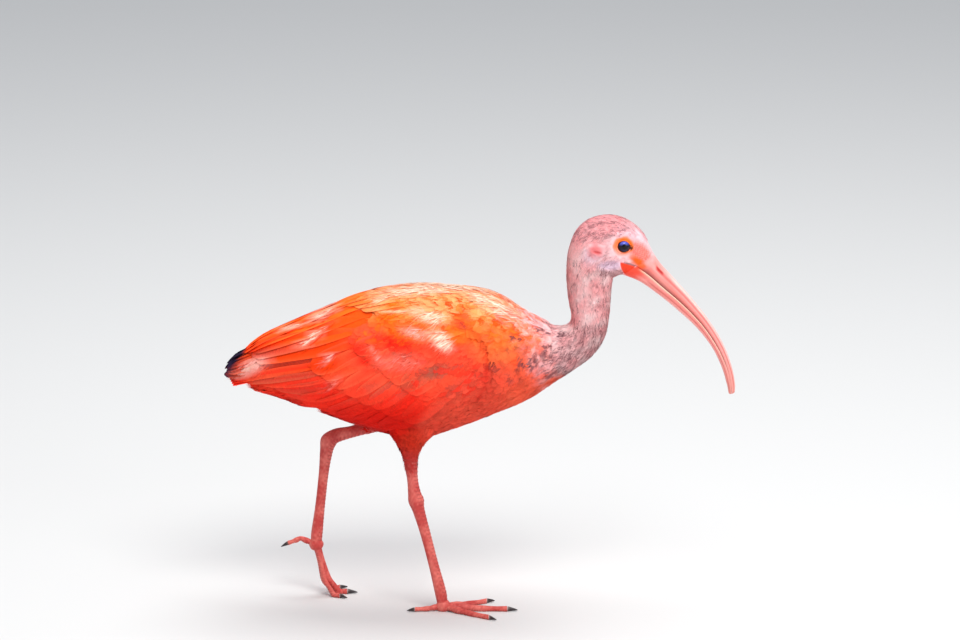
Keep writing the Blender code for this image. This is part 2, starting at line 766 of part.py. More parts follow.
def main():
    for old in list(bpy.data.objects):
        bpy.data.objects.remove(old)
    make_torso()
    make_neck()
    make_head()
    make_eyes()
    make_bill()
    right_root = Vector((-33.5, -FOOT_SPREAD, 4.6))
    left_root = Vector((-146.0, FOOT_SPREAD, HEEL_HEIGHT))
    make_foot("right", make_leg("right", RIGHT_LEG), right_root, 1)
    make_foot("left", make_leg("left", LEFT_LEG), left_root, -1)
    make_wing("wing_left", 1)
    make_wing("wing_right", -1)
    make_tail()


main()
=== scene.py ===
"""The looks of the scarlet ibis: skin, feathers, bill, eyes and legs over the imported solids.

One skin lies under the coat, and the feathers on it are solid leaves and vanes set along its lie. Both
take their colours from the same markings. Sizes and places are in millimetres, as in the solids' own
source, and MM turns them into metres where a mesh is made.
"""

import math
from collections import namedtuple

import bpy
import numpy as np
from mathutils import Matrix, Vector
from mathutils.bvhtree import BVHTree


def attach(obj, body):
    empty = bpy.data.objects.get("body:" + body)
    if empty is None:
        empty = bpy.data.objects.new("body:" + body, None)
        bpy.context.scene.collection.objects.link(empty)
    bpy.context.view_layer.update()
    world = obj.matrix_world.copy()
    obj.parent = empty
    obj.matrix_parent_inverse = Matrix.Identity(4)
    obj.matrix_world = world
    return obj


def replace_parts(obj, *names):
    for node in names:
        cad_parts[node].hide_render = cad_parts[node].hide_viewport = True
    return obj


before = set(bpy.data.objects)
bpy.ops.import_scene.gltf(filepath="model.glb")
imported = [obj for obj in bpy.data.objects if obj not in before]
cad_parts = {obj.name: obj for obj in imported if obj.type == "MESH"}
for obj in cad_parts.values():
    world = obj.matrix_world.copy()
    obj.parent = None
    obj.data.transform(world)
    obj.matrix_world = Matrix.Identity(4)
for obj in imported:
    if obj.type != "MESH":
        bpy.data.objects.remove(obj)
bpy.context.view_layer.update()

MM, GAP = 0.001, 0.3
SIDE = np.array((0.0, 1.0, 0.0))
SIDES = ((1, "left"), (-1, "right"))
SEED = 11
draw = np.random.default_rng(SEED)

# Sections of the bird's middle plane: upper or rear end (x, z), lower or front end (x, z), half width.
BODY = np.array((
    (-140, 250, -140, 174.5, 33), (-110, 267.5, -110, 164, 44), (-80, 277, -80, 155.5, 50),
    (-50, 281, -50, 153, 52.5), (-20, 280, -20, 162, 51.5), (10, 274.5, 10, 173.5, 47.5),
    (40, 261.5, 40, 186.5, 39.5), (61, 251, 61, 200.5, 29.5), (74, 251.5, 79, 212, 23),
    (78.5, 259, 96, 224.5, 18.8), (76.5, 271, 107, 241, 17.2), (74.5, 286, 111, 262, 16.8),
    (74, 302, 112.5, 284, 16.4), (75.5, 318, 114, 294, 16.2), (82, 336, 116.5, 296, 16.6),
    (94, 346.5, 118.3, 297, 17.2), (110, 350, 119.6, 297.5, 17.2), (126, 346, 120.6, 297.7, 15.8),
    (139.5, 335, 121.3, 297.7, 13), (147.5, 319, 122, 297.5, 9.8),
), float)
NECK_TOP, BILL_ROOT = 13, 19
WING_SHAPE = np.array((
    (-230, 207, -230, 200, 5), (-200, 234.5, -200, 194, 20), (-170, 251, -170, 186, 33),
    (-140, 264.5, -140, 173.5, 45), (-110, 277.5, -110, 163.5, 53), (-80, 285, -80, 155, 58),
    (-50, 287.5, -50, 152.5, 60), (-20, 285.5, -20, 162, 58.5), (10, 280, 10, 173.5, 54),
    (40, 264, 40, 186.5, 43), (70, 250, 70, 205, 25),
), float)
STATION_STEP = 30
TAIL_CORE = np.array((
    (-203, 207, -203, 197, 6), (-192, 212, -192, 192.5, 12), (-174, 221, -174, 186.5, 18),
    (-156, 232, -156, 179.5, 23.5), (-138, 247, -138, 176, 31),
), float)

# The bill: culmen, lower edge, half width, and the mouth's place from culmen (0) to lower edge (1).
BILL = np.array((
    (147.5, 319, 122, 297.5, 9.8, 0.56), (154.5, 308, 137.5, 291, 7.6, 0.57),
    (166, 295, 153.5, 279.5, 6.0, 0.59), (181, 278, 171, 265, 4.9, 0.56),
    (197.5, 256.7, 188.5, 248.2, 4.3, 0.55), (210, 236, 201.6, 230.6, 3.9, 0.57),
    (217.8, 216, 209.6, 213.6, 3.5, 0.53), (221.2, 200, 213.9, 199.2, 3.0, 0.54),
    (221.2, 190.6, 216.0, 189.4, 2.0, 0.54),
), float)
MOUTH_GAP, MOUTH_GAP_MORE = 0.1, 0.15
MOUTH_CORNER = np.array((124.0, 310.5))
NOSTRIL = (154.4, 301.6)
EYE, EYE_RADIUS = np.array((122.8, 11.6, 325.7)), 6.2

# Legs: centre (x, y, z), half depth, half width.
RIGHT_LEG = np.array((
    (-60, -24, 185, 24, 15), (-61, -25, 166, 22, 14.5), (-62, -26, 153, 12.8, 10.5),
    (-62, -26, 142, 7.2, 7), (-61.3, -26, 132, 5.4, 5.2), (-60, -25.5, 118, 4.7, 4.5),
    (-58.6, -25, 107, 5.6, 5.2), (-57, -25, 100, 6.8, 5.9), (-54.8, -25, 91, 5.2, 4.6),
    (-49, -25, 70, 4.4, 3.7), (-42, -25, 42, 4.3, 3.6), (-36.2, -25, 18, 5.0, 4.4),
    (-34.4, -25, 7.5, 4.6, 4.6),
), float)
LEFT_LEG = np.array((
    (-44, 24, 184, 22, 15), (-60, 25, 173, 20, 14.5), (-74, 26, 165, 14.5, 11), (-87, 26, 159, 9, 8),
    (-98, 25.5, 154.3, 6.4, 6), (-113, 25, 149.3, 5.2, 4.8), (-127.5, 25, 145.6, 6.2, 5.2),
    (-134.5, 25, 140.5, 7.2, 5.9), (-136.6, 25, 131, 5.6, 4.6), (-139, 25, 112, 4.3, 3.7),
    (-142.4, 25, 82, 4.2, 3.6), (-145.4, 25, 57, 5.0, 4.4), (-146.2, 25, 47.5, 4.6, 4.6),
), float)
THIGH_END = 4
FOOT_SPREAD, HEEL_HEIGHT, TOE_LEVEL = 25, 46, 2.2
FOOT_ROOTS = {"right": (-33.5, -FOOT_SPREAD, 4.6), "left": (-146.0, FOOT_SPREAD, HEEL_HEIGHT)}
# Toes: heading in degrees towards the inner side, length, claw length, half width.
TOES = {
    "inner": (30, 44, 8, 3.0),
    "middle": (-2, 56, 9, 3.2),
    "outer": (-34, 48, 8, 3.0),
    "hind": (188, 25, 7, 2.7),
}


def srgb(*values):
    """Linear colour from the 0 to 255 values that a picture has."""
    share = np.array(values, float) / 255
    return np.where(share <= 0.04045, share / 12.92, ((share + 0.055) / 1.055) ** 2.4)


ORANGE = srgb(255, 112, 20)
TERTIAL = srgb(255, 66, 8)
CORAL = srgb(255, 80, 52)
BACK_HIGHLIGHT = srgb(255, 172, 112)
SHOULDER = srgb(255, 116, 58)
RED = srgb(246, 34, 18)
SHADE_RED = srgb(206, 14, 4)
SALMON = srgb(226, 76, 56)
BREAST = srgb(248, 96, 66)
PALE_WEAR_AND_SHEEN = srgb(255, 226, 204)
PALE_PINK = srgb(255, 176, 164)
NECK_PINK = srgb(244, 170, 172)
NECK_LIGHT = srgb(252, 212, 212)
HEAD_PINK = srgb(250, 172, 176)
FACE = srgb(248, 196, 200)
FOREHEAD = srgb(243, 190, 201)
LAVENDER = srgb(240, 208, 220)
MALAR = srgb(228, 196, 214)
DUSKY_AND_CHIN_SHADOW = srgb(150, 104, 106)
EAR_RED = srgb(230, 104, 104)
LORE = srgb(248, 104, 84)
LORE_ORANGE = srgb(255, 96, 34)
EYE_RING = srgb(248, 116, 38)
GAPE_RED = srgb(246, 70, 44)
FLECK = srgb(104, 58, 66)
SMUDGE = srgb(84, 48, 52)
DARK_RIM = srgb(46, 22, 22)
BROWNISH = srgb(178, 86, 68)
FRAYED = srgb(255, 140, 122)
THIGH_RED = srgb(190, 50, 30)
TIP_BLACK = srgb(44, 32, 58)
PAINTED_EDGE_LIGHT = srgb(255, 150, 100)
BILL_PINK = srgb(250, 158, 152)
BILL_TIP = srgb(230, 150, 140)
LEG_RED = srgb(188, 62, 58)
LEG_PALE = srgb(228, 120, 108)
LEG_DARK = srgb(128, 40, 40)
EAR_SLIT = EAR_RED * (0.86, 0.6, 0.6)
MOUTH_SHADE = srgb(110, 40, 34)
PUPIL = srgb(4, 3, 6)
IRIS_DARK = srgb(20, 14, 30)
EYE_TOP_REFLECTION = srgb(84, 92, 196)
EYE_LOW_REFLECTION = srgb(40, 32, 60)
EYE_EDGE = srgb(24, 14, 18)
BILL_HIGHLIGHT = srgb(255, 206, 198)
BILL_STREAK = srgb(232, 96, 82)
NOSTRIL_RED = srgb(206, 10, 14)
GROOVE_RED = srgb(190, 66, 62)
LINE_RED = srgb(214, 96, 88)
BILL_SIDE_SHADE = srgb(236, 104, 92)
RIDGE_HIGHLIGHT = srgb(255, 212, 204)
UPPER_LIP_SHADOW = srgb(136, 40, 36)
LOWER_LIP_HIGHLIGHT = srgb(255, 226, 196)
CLAW_DARK = srgb(44, 32, 34)
CLAW_ROOT = srgb(112, 84, 78)


def smooth(low, high, value):
    share = np.clip((value - low) / (high - low), 0, 1)
    return share * share * (3 - 2 * share)


def bell(value):
    """1 at 0, falling to almost nothing at 2 on either side."""
    return np.exp(-(value**2))


def mixed(first, second, share):
    return first + (second - first) * np.asarray(share)[..., None]


def layered(colour, *layers):
    """A colour with others laid over it, each with its share."""
    for over, share in layers:
        colour = mixed(colour, over, share)
    return colour


def norms(vectors):
    return np.linalg.norm(vectors, axis=-1)


def circle(count):
    """Angles all the way round."""
    return np.linspace(0, 2 * math.pi, count, endpoint=False)


def unit(vectors):
    return vectors / np.maximum(norms(vectors)[..., None], 1e-9)


RIPPLE_WAVES, RIPPLE_HEIGHT = 9, 3.6


def ripple(points, size, seed):
    """Smooth pseudo-random values of about -1 to 1 at points, with features of a given size."""
    waves = np.random.default_rng(seed)
    total = 0
    for direction in unit(waves.normal(size=(RIPPLE_WAVES, points.shape[-1]))):
        reach = 2 * math.pi / (size * waves.uniform(0.6, 1.9))
        total = total + np.sin(points @ direction * reach + waves.uniform(0, 2 * math.pi))
    return total / RIPPLE_HEIGHT


class Surface:
    """A loft through sections. A place on it is a station number and an angle from the section's
    upper end towards +Y."""

    def __init__(self, centres, ups, widths, fullness=2.1):
        self.rows = np.hstack([centres, ups, widths[:, None]])
        self.power = 2 / fullness
        self.last = len(self.rows) - 1

    def at(self, t):
        t = np.clip(t, 0, self.last)
        i = np.minimum(t.astype(int), self.last - 1)
        f = (t - i)[..., None]
        rows = np.vstack([2 * self.rows[0] - self.rows[1], self.rows, 2 * self.rows[-1] - self.rows[-2]])
        a, b, c, d = (rows[i + k] for k in range(4))
        cubic = 3 * b - a - 3 * c + d
        return 0.5 * (2 * b + (c - a) * f + (2 * a - 5 * b + 4 * c - d) * f * f + cubic * f**3)

    def place(self, t, angle, grow=0.0):
        row = self.at(np.asarray(t, float))
        height = norms(row[..., 3:6])
        up, side = np.cos(angle), np.sin(angle)
        upward = np.sign(up) * np.abs(up) ** self.power * (height + grow) / height
        sideways = np.sign(side) * np.abs(side) ** self.power * (row[..., 6] + grow)
        return row[..., :3] + row[..., 3:6] * upward[..., None] + SIDE * sideways[..., None]

    def directions(self, t, angle):
        """(towards higher t, towards higher angle, outwards), the first two as long as one station
        or one radian is there."""
        step = 0.02
        along = (self.place(t + step, angle) - self.place(t - step, angle)) / (2 * step)
        around = (self.place(t, angle + step) - self.place(t, angle - step)) / (2 * step)
        return along, around, unit(np.cross(along, around))

    def unwrap(self, t, angle):
        """Places as shares of the way round and along, for the bake's map."""
        return np.stack([(angle / (2 * math.pi)) % 1.0, t / self.last], -1)


def flat_place(x, z):
    """Places in the middle plane."""
    return np.stack([x, 0 * x, z], -1)


def section_surface(run):
    back, front = flat_place(run[:, 0], run[:, 1]), flat_place(run[:, 2], run[:, 3])
    return Surface((back + front) / 2, (back - front) / 2, run[:, 4])


def tube_surface(stations, across):
    """A loft round a leg or toe, whose sections stand square to it."""
    centres = stations[:, :3]
    deep = unit(np.cross(unit(np.gradient(centres, axis=0)), across))
    return Surface(centres, deep * stations[:, 3:4], stations[:, 4], 2.0)


BODY_SURFACE = section_surface(BODY)
WING_SURFACE = section_surface(WING_SHAPE)
TAIL_SURFACE = section_surface(TAIL_CORE)
LEG_SURFACES = {"right": tube_surface(RIGHT_LEG, SIDE), "left": tube_surface(LEFT_LEG, SIDE)}


# Markings, the same on both sides. Their places are in the side view from a little above, as x and
# height. Each patch: middle, half sizes along and across, tilt in degrees, colour, strength.
CAMERA_TILT = math.radians(14)
LOOK_DOWN = math.tan(CAMERA_TILT)
BODY_PATCHES = (
    ((-114, 275.5), (20, 5), 18, ORANGE, 0.9), ((-75, 268.5), (14, 5.5), 0, ORANGE, 1.0),
    ((-78, 258.5), (11, 6), -10, ORANGE, 1.0), ((-16, 258), (9, 10), -60, TERTIAL, 0.8),
    ((-74, 237), (22, 7), -12, RED, 0.9), ((-38, 222), (26, 10), -14, CORAL, 0.6),
    ((-103, 223), (18, 7), -70, RED, 1.0), ((-203, 213), (21, 8), 23, FRAYED, 0.9),
    ((-62, 190), (16, 10), 40, RED, 0.5), ((-152, 236), (30, 8), 36, TERTIAL, 0.6),
    ((-152, 196), (17, 5), 45, BROWNISH, 0.55), ((-61, 146), (15, 17), 0, THIGH_RED, 0.7),
    # the first brownish patch on the next line, at (-95, 195), is a painted shadow on the lower wing
    ((-95, 195), (8, 5), 35, BROWNISH, 0.6), ((-75, 227), (4.5, 2.5), 0, BROWNISH, 0.6),
    ((-39, 211.5), (15, 6), 18, BROWNISH, 1.0), ((-58, 203), (16, 5), 30, BROWNISH, 0.3),
    ((-220, 200), (4, 3), 0, RED, 1.0), ((20, 261), (9, 9), -40, TERTIAL, 0.7),
    ((30, 245), (5, 3.5), 20, TERTIAL, 0.7), ((17.5, 235), (4, 5), 0, TERTIAL, 0.7),
    ((38, 236), (4, 8), 10, TERTIAL, 0.5), ((30, 216), (3, 9), 8, TERTIAL, 0.4),
)
# Where feathers are pale at their tips: partly wear, and on the back and mantle partly a painted sheen.
WEAR_AND_SHEEN_PATCHES = (
    ((-46, 284), (50, 6), 4, PALE_WEAR_AND_SHEEN, 0.95), ((8, 272), (34, 9), -31, PALE_WEAR_AND_SHEEN, 0.8),
    ((-45, 260), (19, 7), -14, PALE_WEAR_AND_SHEEN, 0.75), ((-88, 275), (9, 3.5), 12, PALE_WEAR_AND_SHEEN, 0.6),
    ((-75, 264), (14, 1.5), 0, PALE_WEAR_AND_SHEEN, 0.7), ((-57, 245), (15, 6), -20, PALE_PINK, 0.85),
    ((-35, 239), (15, 7.5), -46, PALE_WEAR_AND_SHEEN, 1.0), ((-92, 226), (11, 2), -62, PALE_PINK, 0.7),
    ((-69, 219), (24, 9), 0, PALE_PINK, 0.3), ((-132, 222), (8, 3), 55, PALE_PINK, 0.95),
    ((-166, 250), (12, 2.5), 12, PALE_WEAR_AND_SHEEN, 0.9), ((-138, 262), (14, 5), 30, PALE_WEAR_AND_SHEEN, 0.7),
    ((-146, 242), (18, 4), 42, PALE_WEAR_AND_SHEEN, 0.75), ((-203, 214), (22, 8), 23, PALE_PINK, 1.0),
    ((-199, 217), (16, 2.4), 25, PALE_PINK, 1.0), ((-206, 211), (14, 1.8), 28, PALE_WEAR_AND_SHEEN, 0.35),
    ((-128, 200), (12, 3), 45, PALE_PINK, 0.4),
)
SMUDGES = (
    ((7, 240), (6, 2), -52), ((-14, 251), (8, 1.2), -32), ((22, 229), (2.2, 5), 20),
    ((31, 212), (3, 2.5), 30), ((24, 205), (1.8, 6), 8), ((16, 226.5), (2.8, 2), 60),
    ((10.5, 217), (2, 3.2), 10), ((31, 234), (3.2, 1.8), 20), ((38, 232), (2.4, 2), -10),
    ((42, 218), (2.6, 2.2), 40), ((7.5, 246.5), (2.2, 2.8), 0), ((33, 242), (2.6, 1.6), -30),
    ((33, 203.5), (3.4, 2.2), 30),
)
# The crease where the breast's feathers lie over the wing's front, from low to high.
CREASE_HEIGHT = (184, 198, 214, 230, 243, 258)
CREASE_X = (-4, 4.5, 6.5, 5.5, -1.5, -23)
# The wing's lower edge over the flank.
FLANK_X = (-56, -51, -31, -10, 8)
FLANK_HEIGHT = (166, 173, 196, 213, 222)


def side_view(points):
    return points[..., 0], points[..., 2] - LOOK_DOWN * np.abs(points[..., 1])


def oval(x, h, middle, half_sizes, tilt, edge=(0.4, 1.2)):
    """1 in the middle of a tilted oval patch, falling to 0 outside it."""
    turn = math.radians(tilt)
    dx, dh = x - middle[0], h - middle[1]
    along = (dx * math.cos(turn) + dh * math.sin(turn)) / half_sizes[0]
    across = (-dx * math.sin(turn) + dh * math.cos(turn)) / half_sizes[1]
    return 1 - smooth(*edge, np.hypot(along, across))


def crease_distance(x, h):
    """Distance ahead of the crease, and how plain the crease is there."""
    return x - np.interp(h, CREASE_HEIGHT, CREASE_X), smooth(178, 192, h) * smooth(260, 246, h)


def body_colour(points):
    x, h = side_view(points)
    flat = np.stack([x, h], -1)
    wide, fine = ripple(flat, 26, 1), ripple(flat, 6, 2)
    tilted = h + 0.1 * (x + 60)
    flank = smooth(-2, 5, np.interp(x, FLANK_X, FLANK_HEIGHT) - h + 2 * fine) * smooth(-60, -50, x)
    ahead, plain = crease_distance(x, h)
    colour = layered(
        mixed(CORAL, BREAST, smooth(-2, 42, x + 6 * wide)),
        # lower down, redder and then darker: partly the plumage's own red, mostly painted shade
        (RED, 0.8 * smooth(206, 190, h + 5 * wide) * smooth(-30, -60, x)),
        (SHADE_RED, 0.85 * smooth(192, 168, h + 3 * wide) * smooth(-20, -60, x)),
        # higher up, orange and then a pale peach crest: partly the plumage's own orange, mostly painted light
        # from above, the crest a painted highlight
        (ORANGE, 0.8 * smooth(234, 250, tilted + 5 * wide)),
        (BACK_HIGHLIGHT, 0.8 * smooth(250, 268, tilted + 4 * fine) * smooth(-112, -90, x)),
        (SHOULDER, 0.9 * oval(x, h, (14, 236), (28, 22), -20, (0.3, 1.3))),
        (TERTIAL, smooth(-104, -136, x + 6 * wide) * smooth(206, 222, h + 0.1 * (x + 200))),
        (SALMON, 0.8 * flank * smooth(34, 6, x)),
    )
    for *place, patch, strength in BODY_PATCHES:
        colour = mixed(colour, patch, strength * oval(x + 2 * fine, h + 1.5 * wide, *place))
    for place in SMUDGES:
        colour = mixed(colour, SMUDGE, 0.8 * oval(x + 1.2 * fine, h + wide, *place))
    return layered(
        colour,
        (LEG_RED, 0.85 * smooth(146, 128, h + 2 * fine)),
        # a painted shadow along the crease, where the breast's feathers lie over the wing
        (SHADE_RED, 0.7 * plain * bell((ahead + 1) / 2)),
        (neck_colour(points), smooth(27, 62, x + 0.55 * (h - 236) + 9 * wide + 7 * fine)),
    )


def worn_and_sheen_tip(colour, points, amount):
    """Colour bleached towards the pale patches' colours by an amount: partly wear, partly a painted sheen."""
    x, h = side_view(points)
    streak = ripple(np.stack([x, h], -1) @ np.array(((0.22, 0.5), (-0.3, 0.9))), 4, 12)
    for *place, patch, strength in WEAR_AND_SHEEN_PATCHES:
        share = strength * oval(x, h, *place, (0.3, 1.3)) * amount * (0.8 + 0.4 * streak)
        colour = mixed(colour, patch, np.clip(share, 0, 1))
    return colour


def blotched(colour, points, amount):
    """Colour of single feathers that differ from their neighbours, deeper by an amount."""
    x, h = side_view(points)
    back = smooth(226, 246, h) * smooth(62, 40, x)
    wing = smooth(240, 226, h) * smooth(10, -10, x) * smooth(178, 196, h)
    return layered(
        colour,
        (ORANGE, 0.7 * back * smooth(0.45, 0.75, amount)),
        (TERTIAL, 0.7 * back * smooth(0.84, 0.92, amount)),
        (RED, 0.6 * wing * smooth(0.7, 0.8, amount)),
        (BROWNISH, 0.5 * wing * smooth(0.88, 0.93, amount)),
    )


def neck_colour(points):
    x, h = side_view(points)
    wide = ripple(np.stack([x, h], -1), 16, 3)
    return layered(
        NECK_PINK,
        (NECK_LIGHT, np.clip(0.4 + 0.5 * wide, 0, 1)),
        (DUSKY_AND_CHIN_SHADOW, 0.28 * oval(x, h, (84, 232), (30, 20), 35)),
        (HEAD_PINK, smooth(316, 334, h)),
    )


def fleck_share(points):
    """How thick the dark flecks are: most at the neck's base, by the chin and on the crown."""
    x, h = side_view(points)
    share = 0.66 * oval(x, h, (84, 230), (34, 21), 35)
    share += 0.62 * oval(x, h, (50, 226), (34, 28), -30, (0.1, 1.1))
    share += 0.36 * smooth(50, 66, x) * smooth(322, 306, h) * smooth(200, 214, h)
    share += 0.24 * smooth(-4, 6, x - 101) * smooth(300, 280, h)
    share += 0.66 * smooth(322, 331, h - 0.1 * (x - 100)) * smooth(137, 122, x)
    share += 0.35 * oval(x, h, (106, 297.5), (16, 4.5), -8)
    return np.clip(share, 0, 0.7)


def gape_share(x, h):
    """1 on the red lobe of bare skin behind the mouth's corner."""
    lobe = oval(x, h, (131, 301), (14, 8), -44, (0.88, 1.02))
    return lobe * smooth(0.5, -0.5, h - 307 + 0.3 * (x - 124))


def head_colour(points):
    """The colours of the head's bare skin and short feathers."""
    x, h = side_view(points)
    flat = np.stack([x, h], -1)
    fine = ripple(flat, 5, 5)
    streak = ripple(flat @ np.array(((0.35, 0.9), (0.5, -0.8))), 1.5, 15)
    rough = h + fine
    pale = oval(x + 2 * fine, rough, (130, 329), (18, 12), -35, (0.1, 1.3))
    lore = oval(x + fine, h, (137, 317), (15, 8.6), -42, (0.45, 1.2))
    low_lore = oval(x + 0.6 * fine, h + 0.6 * fine, (136.5, 307), (13, 4.8), -40, (0.35, 1.15))
    dx, z = x - EYE[0], points[..., 2]
    ring = np.hypot(dx, z - EYE[2]) + 0.4 * fine - 0.9 * smooth(-2, -7, dx)
    tear = oval(x, z, (EYE[0] + 5.6, EYE[2] - 1.8), (2.8, 1.7), -18, (0.6, 1.1))
    return layered(
        neck_colour(points),
        (FACE, smooth(99, 109, x + 1.5 * fine) * smooth(294, 300, h)),
        (LAVENDER, 0.8 * oval(x, rough, (96, 314), (11, 10), 30)),
        (HEAD_PINK, smooth(327, 333, rough - 0.12 * (x - 100)) * smooth(134, 118, x)),
        (FOREHEAD, pale * np.clip(0.65 + 0.3 * streak, 0, 1)),
        (MALAR, 0.95 * oval(x + fine, h, (112, 305), (14, 5), 3)),
        # a painted shadow under the jaw
        (DUSKY_AND_CHIN_SHADOW, 0.35 * oval(x, rough, (106, 298), (15, 2.8), -8)),
        (EAR_RED, 0.85 * oval(x, rough, (98.5, 318), (8.5, 7.5), -10, (0.3, 1.2))),
        (EAR_SLIT, 0.8 * oval(x, h, (100, 316.5), (4, 1.3), -12)),
        (LORE, lore * np.clip(0.82 + 0.2 * streak, 0, 1)),
        (LORE_ORANGE, low_lore),
        (EYE_RING, (0.85 - 0.45 * smooth(1, -6, z - EYE[2])) * smooth(9.4, 7.2, ring)),
        (DARK_RIM, 0.9 * tear),
        (GAPE_RED, gape_share(x, h)),
    )


def coat_colour(points):
    """The colour of skin and coat at any place of the bird."""
    x, h = side_view(points)
    return mixed(body_colour(points), head_colour(points), smooth(290, 300, h + 0.3 * (x - 95)))


MOTTLE_SCALE = 420.0
BARB_BUMP, BUMP_DEPTH = 0.35, 0.0004


def node(tree, kind, output=0, inputs=(), **settings):
    """A new shader node's output."""
    made = tree.nodes.new("ShaderNode" + kind)
    for name, value in settings.items():
        setattr(made, name, value)
    fill(tree, made, dict(inputs))
    return made.outputs[output]


def fill(tree, made, inputs):
    """Gives a node's inputs plain values or other nodes' outputs."""
    for key, value in inputs.items():
        if isinstance(value, bpy.types.NodeSocket):
            tree.links.new(value, made.inputs[key])
        else:
            made.inputs[key].default_value = value


def varied(tree, value, depth):
    """Noise between 0.3 and 0.7 as a factor from 1 - depth to 1 + depth."""
    limits = {"From Min": 0.3, "From Max": 0.7, "To Min": 1.0 - depth, "To Max": 1.0 + depth}
    return node(tree, "MapRange", "Result", {**limits, "Value": value})


def material(name, roughness, shine, grain=0.0, grain_size=900.0, barbs=0.0, mottle=0.06):
    """A surface coloured by a mesh's own colours, with fine mottling and bumps on top."""
    made = bpy.data.materials.new(name)
    made.use_nodes = True
    tree = made.node_tree
    place = node(tree, "TexCoord", "Object")
    noise = node(tree, "TexNoise", "Fac", {"Scale": MOTTLE_SCALE, "Detail": 3.0, "Vector": place})
    tone, height = varied(tree, noise, mottle), None
    if barbs:
        lie = node(tree, "Attribute", "Vector", attribute_name="barb")
        height = node(tree, "TexNoise", "Fac", {"Scale": 1.0, "Detail": 2.0, "Vector": lie})
        lines = varied(tree, height, barbs)
        tone = node(tree, "Math", "Value", {0: tone, 1: lines}, operation="MULTIPLY")
    if grain:
        height = node(tree, "TexVoronoi", "Distance", {"Scale": grain_size, "Vector": place})
    coat = node(tree, "Attribute", "Color", attribute_name="coat")
    colour = node(tree, "VectorMath", "Vector", {"Vector": coat, "Scale": tone}, operation="SCALE")
    look = {"Roughness": roughness, "Specular IOR Level": shine, "Base Color": colour}
    if height:
        depth = {"Strength": BARB_BUMP if barbs else grain, "Distance": BUMP_DEPTH, "Height": height}
        look["Normal"] = node(tree, "Bump", "Normal", depth)
    fill(tree, tree.nodes["Principled BSDF"], look)
    return made


FEATHER = material("feather", 0.75, 0.08, barbs=0.09)
DOWN = material("short_feather", 0.8, 0.08, barbs=0.06)
SKIN = material("skin", 0.7, 0.12, grain=0.3)
BILL_HORN = material("bill_horn", 0.36, 0.4, grain=0.08, grain_size=500.0, mottle=0.05)
LEG_SKIN = material("leg_skin", 0.5, 0.3, grain=0.2, grain_size=620.0, mottle=0.05)
CLAW_HORN = material("claw_horn", 0.32, 0.5, grain=0.1, grain_size=400.0)
EYE_WET = material("eye_wet", 0.08, 0.25, mottle=0.0)


def placed(name, data):
    """A new object of the scene."""
    made = bpy.data.objects.new(name, data)
    bpy.context.scene.collection.objects.link(made)
    return made


def put(data, field, values, kind=np.float32):
    data.foreach_set(field, np.asarray(values).astype(kind).ravel())


def new_piece(name, faces, surface, slot, points, colours, patches=None, barbs=None, normals=None):
    """A mesh object that rides on the bird. faces is a list of arrays of corner numbers."""
    mesh = bpy.data.meshes.new(name)
    points = np.asarray(points, float).reshape(-1, 3)
    corners = np.concatenate([group.ravel() for group in faces])
    counts = np.concatenate([np.full(len(group), group.shape[1]) for group in faces])
    mesh.vertices.add(len(points))
    put(mesh.vertices, "co", points * MM)
    mesh.loops.add(len(corners))
    put(mesh.loops, "vertex_index", corners, np.int32)
    mesh.polygons.add(len(counts))
    put(mesh.polygons, "loop_start", np.cumsum(counts) - counts, np.int32)
    put(mesh.polygons, "loop_total", counts, np.int32)
    mesh.update(calc_edges=True)
    rgba = np.ones((len(points), 4))
    rgba[:, :3] = np.clip(np.asarray(colours).reshape(-1, 3), 0, 1)
    put(mesh.color_attributes.new("coat", "FLOAT_COLOR", "POINT").data, "color", rgba)
    if patches is not None:
        put(mesh.uv_layers.new(name="OFBake").data, "uv", patches[corners])
    mesh.materials.append(surface)
    mesh.shade_smooth()
    mesh.validate()
    for layer, values in (("barb", barbs), ("custom_normal", normals)):
        if values is not None:
            put(mesh.attributes.new(layer, "FLOAT_VECTOR", "POINT").data, "vector", values)
    made = placed(name, mesh)
    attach(made, "root")
    return made


def grid_faces(count, rows, columns, closed=False):
    """Corners of the four-sided faces of count patches, each rows by columns points."""
    i, j = np.meshgrid(np.arange(rows - 1), np.arange(columns if closed else columns - 1), indexing="ij")
    k = (j + 1) % columns
    square = np.stack([i * columns + j, i * columns + k, (i + 1) * columns + k, (i + 1) * columns + j], -1)
    starts = np.arange(count)[:, None, None] * rows * columns
    return (square.reshape(1, -1, 4) + starts).reshape(-1, 4)


def joined(parts):
    """Several parts, each its faces and its [points, colours, ...], as one."""
    faces, start = [], 0
    for part_faces, values in parts:
        faces += [group + start for group in part_faces]
        start += values[0].size // 3
    layers = zip(*(values for _, values in parts))
    return faces, [np.vstack([part.reshape(-1, part.shape[-1]) for part in same]) for same in layers]


# The outline of a vane: share of its length, share of its width.
CONTOUR = np.array(((0, 0.3), (0.22, 0.72), (0.45, 0.96), (0.66, 1.0), (0.82, 0.97), (1, 0.84)))
SHORT = np.array(((0, 0.5), (0.4, 1.0), (0.75, 0.9), (1, 0.55)))
FLIGHT = np.array(((0, 0.5), (0.1, 0.66), (0.22, 0.82), (0.34, 0.92), (0.46, 0.98), (0.58, 1.0), (0.7, 1.0),
                   (0.8, 0.97), (0.88, 0.92), (0.95, 0.85), (1, 0.76)))
NARROW_COLUMNS = np.array((-1.0, 0.0, 1.0))
LEAF_COLUMNS = np.array((-1.0, -0.5, 0.0, 0.5, 1.0))
FLIGHT_COLUMNS = np.array((-1.0, -0.72, -0.4, -0.06, 0.0, 0.06, 0.4, 0.72, 1.0))
SHAFT = 0.08  # half width of a vane's shaft, as a share of the vane's
PATCH = 0.003  # size of a vane on the bake's map
LIGHT_TILT = 0.1  # of single vanes in radians, for the light alone
